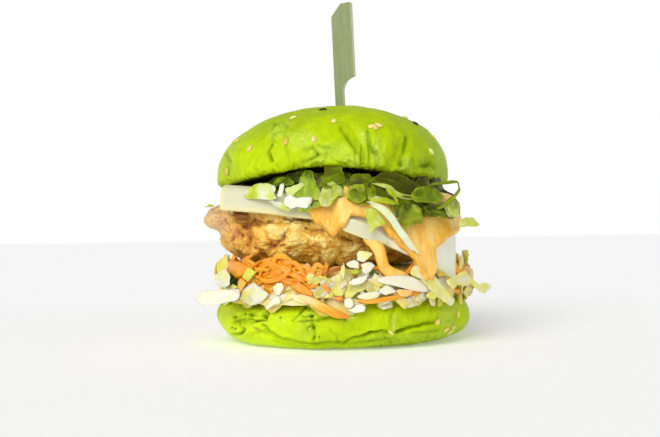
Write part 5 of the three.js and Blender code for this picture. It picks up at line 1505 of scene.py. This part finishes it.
class BURGER_OT_heel(bpy.types.Operator):
    """Bakes the bun heel and sets its seeds"""

    bl_idname = "burger.heel"
    bl_label = "Bun heel"

    def execute(self, context):
        look = context.scene.burger_bun
        climbs = np.concatenate([
            np.linspace(-1, UNDER_END, 8), np.linspace(UNDER_END, 0, 56)[1:],
            np.linspace(0, TOP_START, 44)[1:], np.linspace(TOP_START, 1, 14)[1:],
        ])
        grid = heel_point(lap(480)[None, :], climbs[:, None])
        normals = ring_normals(grid)
        side = smooth(UNDER_END, -0.5, climbs) * (1 - smooth(TOP_START, 0.6, climbs))
        side = side[:, None]
        x, z, front = front_view(grid)
        depth, crease = line_marks(grid, HEEL_CREASES, 0.3)
        holes, pit_shade = patch_marks(grid, HEEL_PITS)
        stand, scuff = patch_marks(grid, HEEL_SCUFFS, 0.7)
        worn = bell(x + 39, 6) * bell(z - 17, 4.4) + 0.8 * bell(x + 16, 4) * bell(z - 17, 4.6)
        cracks = smooth(0.13, 0.0, np.abs(noise(x / 3.4 + 2, z / 2.3, 4.5))) * worn * front
        crumbly = smooth(4, 12, x) * smooth(12.5, 10, z) * front
        broken = crumbly * np.abs(rough(grid, 1.8, 3))
        lumps = 0.35 * rough(grid, 9, 2) + 0.1 * rough(grid, 2.2, 2)
        out = stand + lumps - holes - 0.7 * broken - look.relief * depth - 1.3 * cracks
        grid = grid + normals * (side * out)[..., None]
        grid[..., 2] = np.maximum(grid[..., 2], STAND)
        marks = {
            # painted shade in the creases, pits, broken patch and cracks
            "crease": clamp(np.maximum(crease, pit_shade) * side + 0.35 * broken + 0.9 * cracks),
            "scuff": clamp(scuff * side + 0.3 * crumbly + 0.4 * worn * front),
            "crumb": np.broadcast_to(smooth(0.46, 0.52, climbs)[:, None], z.shape),
            # painted light, lighter towards the left
            "flank": smooth(12, -46, x) * front,
        }
        bake("heel", grid, marks, look, HEEL_SEEDS, (44, 92), 20)
        return {"FINISHED"}


class BURGER_OT_chicken(bpy.types.Operator):
    """Fries the chicken and its crust"""

    bl_idname = "burger.chicken"
    bl_label = "Fried chicken"

    def execute(self, context):
        look = context.scene.burger_chicken
        climbs = np.linspace(-1, 1, 190)
        grid = chicken_point(lap(480)[None, :], climbs[:, None])
        normals = ring_normals(grid)
        warped = grid + 0.9 * np.stack([rough(grid + k, 4, 3) for k in (0, 31, 67)], -1)
        size = look.nodule / MM
        near, next_near = cells(warped, size)
        fine, _ = cells(warped + 40, size * 0.5)
        crumbs, _ = cells(warped + 80, size * 0.28)
        broad, broad_next = cells(warped + 13, 13)
        nodules = dome(near, 0.85) * 0.7 + dome(fine, 0.8) * 0.55 + dome(crumbs, 0.75) * 0.4
        flakes = 1.3 * (0.5 - np.abs(rough(warped + 7, 5, 4)))
        plates = 1.1 * smooth(0.0, 0.5, broad_next - broad)
        lobes, _ = patch_marks(grid, CHICKEN_LOBES, 0.9)
        depth, crease = line_marks(grid, CHICKEN_CREASES, 0.8)
        gaps = smooth(0.12, 0.0, next_near - near) * 0.3
        relief = nodules + flakes + plates + 0.7 * lobes - gaps
        grid = grid + normals * (relief - 1.5 - depth)[..., None]
        azimuth = np.degrees(np.arctan2(grid[..., 1], grid[..., 0]))
        reach = np.hypot(grid[..., 0], grid[..., 1])
        covered = smooth(55, 60, grid[..., 2]) * smooth(-152, -144, azimuth) * smooth(-18, -30, azimuth)
        limit = np.where(covered > 0.5, 50.6, 70)
        pull = np.minimum(1, limit / np.maximum(reach, 1))
        grid[..., :2] *= pull[..., None]
        grid[..., 0] += 3.4 * smooth(59, 52, grid[..., 2]) * bell(turn_from(azimuth, -172), 32)
        pale = bell(turn_from(azimuth, -166), 13) * smooth(50, 57, grid[..., 2])
        # the crust is made browner towards its left front
        toast = smooth(-22, -44, grid[..., 0]) * smooth(0, -12, grid[..., 1])
        # relief ramps the crust's colour as painted shade in the hollows and painted highlight on the
        # crests; the crease mark adds painted shade in creases and gaps
        marks = {
            "relief": clamp(0.12 + relief / 2.9), "crease": clamp(crease + 0.6 * gaps),
            "pale": clamp(pale), "toast": toast,
        }
        make_piece("fried_chicken", [ring_part(grid, marks)], crust_finish(look), "crust", "chicken")
        return {"FINISHED"}


class BURGER_OT_cheese(bpy.types.Operator):
    """Lays the cheese slices"""

    bl_idname = "burger.cheese"
    bl_label = "Cheese slices"

    def execute(self, context):
        look = context.scene.burger_cheese
        # painted light and shade: the right slice, turned from the key light, is painted lighter, and the
        # left slice, facing it, darker
        pale = cheese_finish("right_cheese_lightened", look.white, look.right_cloud_lightened, look.rim)
        left_curd_darkened = cheese_finish("left_cheese_darkened", look.body, look.shade, look.rim)
        for name, spec, curd in (("cheese_left", LEFT_SLICE, left_curd_darkened), ("cheese_right", RIGHT_SLICE, pale)):
            size = (spec.wide, spec.deep)
            part = sheet_part(lambda s, t: cheese_point(spec, s, t), SLICE.thick, size, (70, 70), 1.0)
            make_piece(name + "_slice", [part], curd, "cheese", name)
        path = at_front(CHEESE_TIP)
        tip = ribbon(path, 6.2, 1.9, 2.0, 0.0, 0.02, taper=0.75, rows=40, ring=20, square=0.5)
        make_piece("cheese_tip", [rimmed(tip, 4)], left_curd_darkened, "cheese")
        return {"FINISHED"}


class BURGER_OT_sauce(bpy.types.Operator):
    """Pours the sauce"""

    bl_idname = "burger.sauce"
    bl_label = "Sauce"

    def execute(self, context):
        finish = sauce_finish(context.scene.burger_sauce)
        pool = sheet_part(sauce_point, sauce_thick, (74, 40), (190, 70), 1.3)
        path = at_front(SAUCE_TRAIL)
        trail = ribbon(path, 5.2, 2.4, 4.0, 0.12, 0.0, taper=0.3, rows=50, ring=18, square=0.9)
        make_piece("sauce_pool", [pool, rimmed(trail, 3)], finish, "sauce", "sauce")
        return {"FINISHED"}


def heap_core(place, rows, turns, lumps, size):
    """A heap's lumpy inner mass."""
    theta = np.arange(turns) * 2 * pi / turns
    grid = np.stack([place(theta, row) for row in rows])
    normals = ring_normals(grid)
    near, next_near = cells(grid, size)
    height = dome(near, 0.8)
    grid = grid + normals * (lumps * (height - 0.6))[..., None]
    grid[0, :] = grid[0].mean(0)
    grid[-1, :] = grid[-1].mean(0)
    tint = 0.3 + 0.3 * rough(grid, 4, 2)
    marks = {"tint": clamp(tint), "stain": clamp(1.1 - 0.6 * height), "shade": height * 0}
    return ring_part(grid, marks)


def table_row(rows, at):
    """A table's row at a place between two of its rows."""
    low = min(int(at), len(rows) - 2)
    return [a + (b - a) * (at - low) for a, b in zip(rows[low], rows[low + 1])]


def slaw_core_point(theta, at):
    r, z = table_row(SLAW_ROWS, at)
    wide = r * (1 + (0.9 * np.sin(5 * theta) + 0.7 * np.sin(9 * theta + 1)) / HEAP_REACH)
    return together(wide * np.cos(theta), wide * np.sin(theta), z + 0 * theta)


def lettuce_core_point(theta, at):
    azimuth = turn_from(np.degrees(theta), 0)
    hang = smooth(-112, -106, azimuth) * (1 - smooth(-26, -14, azimuth))
    sides = []
    for rows in (LETTUCE_INSIDE, LETTUCE_HANG):
        low = min(int(at), len(rows) - 2)
        ends = []
        for r, z in (rows[low], rows[low + 1]):
            x = np.where(r > 0, INSIDE_SHIFT * (1 - hang) + r * np.cos(theta), 0)
            height = z if z > ON_CHICKEN else rest_plane(x) + z
            ends.append(together(x, r * np.sin(theta), height + 0 * theta))
        sides.append(ends[0] + (ends[1] - ends[0]) * (at - low))
    return sides[0] + (sides[1] - sides[0]) * hang[:, None]


def cabbage_kind(draw):
    rib = draw(0, 1) < 0.3
    return dict(
        z=draw(26, 39), reach=draw(55, 58.5), heading=draw(-60, 60),
        length=draw(12, 24) if rib else draw(7, 15), ends=draw(-0.5, 2.5),
        width=draw(2.2, 4.2) if rib else draw(4, 8), thick=draw(1.2, 2.2) if rib else draw(0.5, 0.9),
        roll=draw(-35, 35), twist=draw(-60, 60), curl=draw(0, 0.22), frayed=draw(0.15, 0.5),
        ruffle=draw(0, 0.8), taper=draw(0, 0.5), crinkle=0.2 if rib else draw(0.5, 1.4),
        slant=draw(-0.5, 0.5), rows=20, ring=16, start=0.05 if rib else draw(0.12, 0.5),
        end=draw(0.05, 0.5), patchy=0.25, stain=draw(0, 0.5),
    )


def carrot_kind(draw):
    return dict(
        z=draw(28, 40), reach=draw(55, 58), heading=draw(-55, 55), length=draw(9, 20),
        ends=draw(-0.5, 2), width=draw(1.6, 2.6), thick=draw(1.2, 2.0), roll=draw(-40, 40),
        twist=draw(-90, 90), curl=0.04, frayed=0.12, ruffle=0, taper=draw(0, 0.5),
        rows=20, ring=12, slant=draw(-0.4, 0.4), start=draw(0, 0.5), end=draw(0, 0.5),
        patchy=0.25, stain=0,
    )


def greens_kind(draw):
    return dict(
        z=draw(26, 38), reach=draw(55.5, 58.5), heading=draw(-70, 70), length=draw(3, 8),
        ends=draw(0, 1.5), width=draw(1.6, 3.4), thick=0.5, roll=draw(-30, 30), twist=30,
        curl=0.15, frayed=0.4, ruffle=0.3, taper=0.4, crinkle=0.6, rows=16,
        start=draw(0.3, 1), end=draw(0.3, 1), patchy=0.2, stain=0.05,
    )


def lettuce_kind(draw):
    green = draw(0, 1)
    reach = draw(50, 55)
    low = draw(0.5, 0.85) if green < 0.5 else draw(0.08, 0.4)
    return dict(
        z=draw(67, 73.5), reach=(reach + draw(0, 3), reach - draw(0, 3)), heading=draw(-45, 45),
        length=draw(12, 24), width=draw(6, 10), thick=draw(0.4, 0.6),
        tints=(low, draw(0.2, 0.8)), patchy=0.3, stain=draw(0, 0.5), crumple=draw(0.8, 2),
    )


def cabbage_leaf_kind(draw):
    reach = draw(54.5, 57.5)
    return dict(
        z=draw(26, 39), reach=(reach + draw(0, 1.5), reach - draw(0, 1)), heading=draw(-90, 90),
        length=draw(7, 15), width=draw(4, 9), thick=draw(0.5, 1.4),
        tints=(draw(0.03, 0.45), draw(0.03, 0.4)), patchy=0.2, stain=draw(0, 0.5),
        crumple=draw(0.5, 1.4),
    )


class BURGER_OT_slaw(bpy.types.Operator):
    """Heaps the slaw: cabbage, carrot and green shreds over a core"""

    bl_idname = "burger.slaw"
    bl_label = "Slaw"

    def execute(self, context):
        look = context.scene.burger_slaw
        stops = (
            (0.0, paint(234, 232, 216)), (0.14, paint(234, 231, 168)), (0.34, paint(226, 223, 112)),
            (0.6, paint(200, 208, 70)), (0.85, paint(140, 168, 36)),
        )
        cabbage = leaf_finish("slaw_cabbage", stops, paint(242, 184, 62), 0.2)
        green_stops = ((0.0, paint(150, 176, 60)), (0.6, paint(92, 128, 30)), (1.0, paint(30, 48, 14)))
        greens = leaf_finish("slaw_greens", green_stops, paint(60, 60, 20), 0.3)
        carrot = carrot_finish(look)
        core = heap_core(slaw_core_point, np.linspace(0, 6, 49), 240, 2.4, 4.5)
        make_piece("slaw_core", [core], cabbage, "cabbage", "slaw")
        shreds = leaves_at_front(CABBAGE_SHARDS)
        shreds += strips_at_front(CABBAGE_FRONT, crinkle=0.45, ring=16)
        shreds += strips_round(look.cabbage, 11, (-34, 214), cabbage_kind)
        shreds += leaves_round(look.leaves, 13, (-30, 210), cabbage_leaf_kind)
        shreds += leaves_round(46, 12, (-142, -36), lambda draw: dict(
            cabbage_leaf_kind(draw), reach=(57.2, 55.4), z=draw(23, 37), stain=draw(0.2, 1),
        ))
        shreds += leaves_round(30, 15, (-106, -46), lambda draw: dict(
            cabbage_leaf_kind(draw), reach=(58.7, 57.6), z=draw(24, 35), length=draw(5, 9),
            width=draw(3, 6), stain=draw(0, 0.6),
        ))
        shreds += leaves_round(34, 16, (-30, 210), lambda draw: dict(
            cabbage_leaf_kind(draw), reach=(54.5, 44), z=draw(36.5, 38.5), length=draw(9, 16),
            heading=draw(-12, 12), width=draw(3, 4),
        ))
        make_piece("slaw_cabbage", shreds, cabbage, "cabbage", "slaw")
        roots = leaves_at_front(CARROT_SHARDS)
        roots += strips_at_front(CARROT_FRONT, twist=50)
        roots += strips_round(look.carrots, 21, (-30, 210), carrot_kind)
        roots += strips_round(70, 23, (-148, -100), lambda draw: dict(
            carrot_kind(draw), reach=draw(55.5, 58), z=draw(30, 39.5), width=draw(1, 2.1),
            thick=draw(0.8, 1.4), heading=draw(-50, 50), length=draw(7, 15), rows=16,
            ring=10,
        ))
        roots += strips_round(9, 24, (-100, -40), lambda draw: dict(
            carrot_kind(draw), reach=draw(53.5, 55.5),
        ))
        make_piece("slaw_carrot", roots, carrot, "carrot", "slaw")
        herbs = strips_at_front(GREENS_FRONT, rows=20)
        herbs += strips_round(look.greens, 31, (-150, 210), greens_kind)
        make_piece("slaw_greens", herbs, greens, "cabbage", "slaw")
        return {"FINISHED"}


class BURGER_OT_lettuce(bpy.types.Operator):
    """Piles the shredded lettuce under the crown"""

    bl_idname = "burger.lettuce"
    bl_label = "Lettuce"

    def execute(self, context):
        look = context.scene.burger_lettuce
        stops = (
            (0.0, paint(230, 238, 216)), (0.2, paint(216, 228, 132)), (0.42, paint(182, 200, 44)),
            (0.62, paint(118, 150, 5)), (0.8, paint(60, 72, 2)), (1.0, paint(26, 36, 2)),
        )
        leaf = leaf_finish("lettuce_leaf", stops, look.stain, 0.22)
        # painted shade: the core is a dark sheet filling the shaded gap under the crown
        core_shadow_stops = ((0.0, paint(48, 62, 8)), (0.5, paint(32, 44, 4)), (1.0, paint(18, 26, 2)))
        shadow = leaf_finish("lettuce_core_shadow", core_shadow_stops, paint(60, 56, 14), 0.4)
        core = heap_core(lettuce_core_point, np.linspace(0, 8, 57), 240, 1.6, 4.5)
        make_piece("lettuce_core", [core], shadow, "lettuce", "lettuce")
        leaves = leaves_at_front(LETTUCE_LEAVES)
        leaves += strips_at_front(LETTUCE_FRONT, rows=34, ring=16, ruffle=0.3, crinkle=0.6)
        leaves += leaves_round(look.leaves, 5, (38, 208), lettuce_kind)
        leaves += leaves_round(12, 7, (-20, 40), lambda draw: dict(lettuce_kind(draw), reach=(46.5, 43.5)))
        # fill leaves under the crown's lip: their dark tints are painted shade from the crown above
        leaves += leaves_round(36, 6, (-134, -30), lambda draw: dict(
            lettuce_kind(draw), reach=(draw(50, 53), 47), z=draw(69, 74),
            tints=(draw(0.65, 0.85), 0.95), stain=draw(0.3, 0.9), crumple=1.2,
        ))
        make_piece("lettuce_leaves", leaves, leaf, "lettuce", "lettuce")
        return {"FINISHED"}


def pick_outline():
    """The blade's outline, across and up, from its slanted corner down to its point and back."""
    left, right = -PICK.wide / 2, PICK.wide / 2
    neck = left + PICK.neck
    out = PICK.scoop_out
    scoop = right - neck + out
    middle = left + PICK.neck / 2
    points = [(left, -PICK.slant), (left + PICK.slant_wide, 0), (right, 0), (right, -PICK.blade)]
    for step in range(1, 13):
        angle = radians(93 + 87 * step / 12)
        across = right + out + scoop * cos(angle)
        points.append((across, -PICK.blade - scoop + scoop * sin(angle)))
    end, tip = -PICK.length, PICK.tip
    start = end + PICK.point
    return points + [(neck, start), (middle + tip, end), (middle - tip, end), (left, start)]


class BURGER_OT_pick(bpy.types.Operator):
    """Cuts the bamboo pick"""

    bl_idname = "burger.pick"
    bl_label = "Bamboo pick"

    def execute(self, context):
        look = context.scene.burger_pick
        outline = np.array(pick_outline())
        count = len(outline)
        half = PICK.thick / 2
        mesh = bpy.data.meshes.new("pick_blade")
        points = [(x, y, z) for y in (-half, half) for x, z in outline]
        faces = [list(range(count))[::-1], list(range(count, 2 * count))]
        faces += [[i, (i + 1) % count, count + (i + 1) % count, count + i] for i in range(count)]
        lean = Matrix.Rotation(radians(PICK.lean), 4, "Y")
        turn = Matrix.Rotation(radians(-PICK.turn), 4, "Z")
        mesh.from_pydata(points, [], faces)
        mesh.transform(Matrix.Translation((PICK.x, 0, PICK.top - STAND)) @ lean @ turn)
        mesh.transform(Matrix.Scale(MM, 4))
        # edge marks the side faces, painted pale: partly their own colour, partly painted highlight
        edge = mesh.attributes.new("edge", "FLOAT", "FACE")
        edge.data.foreach_set("value", np.array([0.0, 0.0] + [0.85] * count, np.float32))
        piece = add_object("pick_blade", mesh)
        rounding = piece.modifiers.new("rounded edges", "BEVEL")
        rounding.width = look.bevel
        rounding.segments = 3
        rounding.limit_method = "ANGLE"
        mesh.materials.append(bamboo_finish(look))
        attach(piece, BODY)
        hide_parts("bamboo_pick")
        return {"FINISHED"}


class BURGER_OT_stage(bpy.types.Operator):
    """Sets the floor, the lights and the camera"""

    bl_idname = "burger.stage"
    bl_label = "Floor, light and camera"

    def execute(self, context):
        look = context.scene.burger_stage
        mesh = bpy.data.meshes.new("floor")
        half = FLOOR.half
        corners = ((-half, -half), (half, -half), (half, half), (-half, half))
        mesh.from_pydata([(x, y, -FLOOR.under) for x, y in corners], [], [(0, 1, 2, 3)])
        floor = add_object("floor", mesh)
        paper = Finish("studio_floor")
        cloud = paper.grain(400, 2)
        colour = paper.mix(look.floor, paint(246, 246, 246), cloud)
        mesh.materials.append(paper.surface({
            "Base Color": colour, "Roughness": 0.8, "Specular IOR Level": 0.1,
            "Emission Color": (1, 1, 1), "Emission Strength": look.glow,
        }))
        lamp = bpy.data.lights.new("key", "SUN")
        lamp.energy = look.key
        lamp.angle = radians(look.softness)
        light = add_object("key", lamp)
        light.rotation_euler = Vector(SUN_WAY).to_track_quat("-Z", "Y").to_euler()
        world = bpy.data.worlds.new("white_studio")
        world.use_nodes = True
        room = Nodes(world.node_tree)
        way = room.node("TexCoord", {}, {}).outputs["Generated"]
        rise = Signal(room, room.node("SeparateXYZ", {}, {0: way}).outputs["Z"]).between(0.24, 0.55)
        strength = look.walls + (look.ceiling - look.walls) * rise
        shine = room.node("Background", {}, {"Color": (1, 1, 1), "Strength": strength})
        room.node("OutputWorld", {}, {"Surface": shine.outputs[0]})
        context.scene.world = world
        lens = bpy.data.cameras.new("camera")
        lens.lens = look.lens
        lens.sensor_width = 36
        lens.clip_start = 0.01
        camera = add_object("camera", lens)
        level = Matrix.Rotation(radians(90 + PITCH), 4, "X")
        roll = Matrix.Rotation(radians(ROLL), 4, "Z")
        eye = Vector(EYE) - Vector((0, 0, STAND))
        camera.matrix_world = Matrix.Translation(eye * MM) @ level @ roll
        context.scene.camera = camera
        context.scene.view_settings.view_transform = "Standard"
        return {"FINISHED"}


OPERATORS = (
    BURGER_OT_crown, BURGER_OT_heel, BURGER_OT_chicken, BURGER_OT_cheese, BURGER_OT_sauce, BURGER_OT_slaw,
    BURGER_OT_lettuce, BURGER_OT_pick, BURGER_OT_stage,
)
LOOKS = {
    "burger_bun": BunLook, "burger_chicken": ChickenLook, "burger_cheese": CheeseLook,
    "burger_sauce": SauceLook, "burger_slaw": SlawLook, "burger_lettuce": LettuceLook,
    "burger_pick": PickLook, "burger_stage": StageLook,
}


class BURGER_PT_pieces(bpy.types.Panel):
    """Lists the burger's pieces and their settings"""

    bl_label = "Chicken burger"
    bl_idname = "BURGER_PT_pieces"
    bl_space_type = "VIEW_3D"
    bl_region_type = "UI"
    bl_category = "Burger"

    def draw(self, context):
        for operator in OPERATORS:
            self.layout.operator(operator.bl_idname)
        for key, look in LOOKS.items():
            box = self.layout.box()
            for name in look.__annotations__:
                box.prop(getattr(context.scene, key), name)


def register():
    for look in LOOKS.values():
        bpy.utils.register_class(look)
    for operator in OPERATORS:
        bpy.utils.register_class(operator)
    bpy.utils.register_class(BURGER_PT_pieces)
    for key, look in LOOKS.items():
        setattr(bpy.types.Scene, key, PointerProperty(type=look))


def unregister():
    for key in LOOKS:
        delattr(bpy.types.Scene, key)
    bpy.utils.unregister_class(BURGER_PT_pieces)
    for cls in (*OPERATORS, *LOOKS.values()):
        bpy.utils.unregister_class(cls)


def main():
    register()
    bpy.ops.burger.crown()
    bpy.ops.burger.heel()
    bpy.ops.burger.chicken()
    bpy.ops.burger.cheese()
    bpy.ops.burger.sauce()
    bpy.ops.burger.slaw()
    bpy.ops.burger.lettuce()
    bpy.ops.burger.pick()
    bpy.ops.burger.stage()


if __name__ == "__main__":
    main()
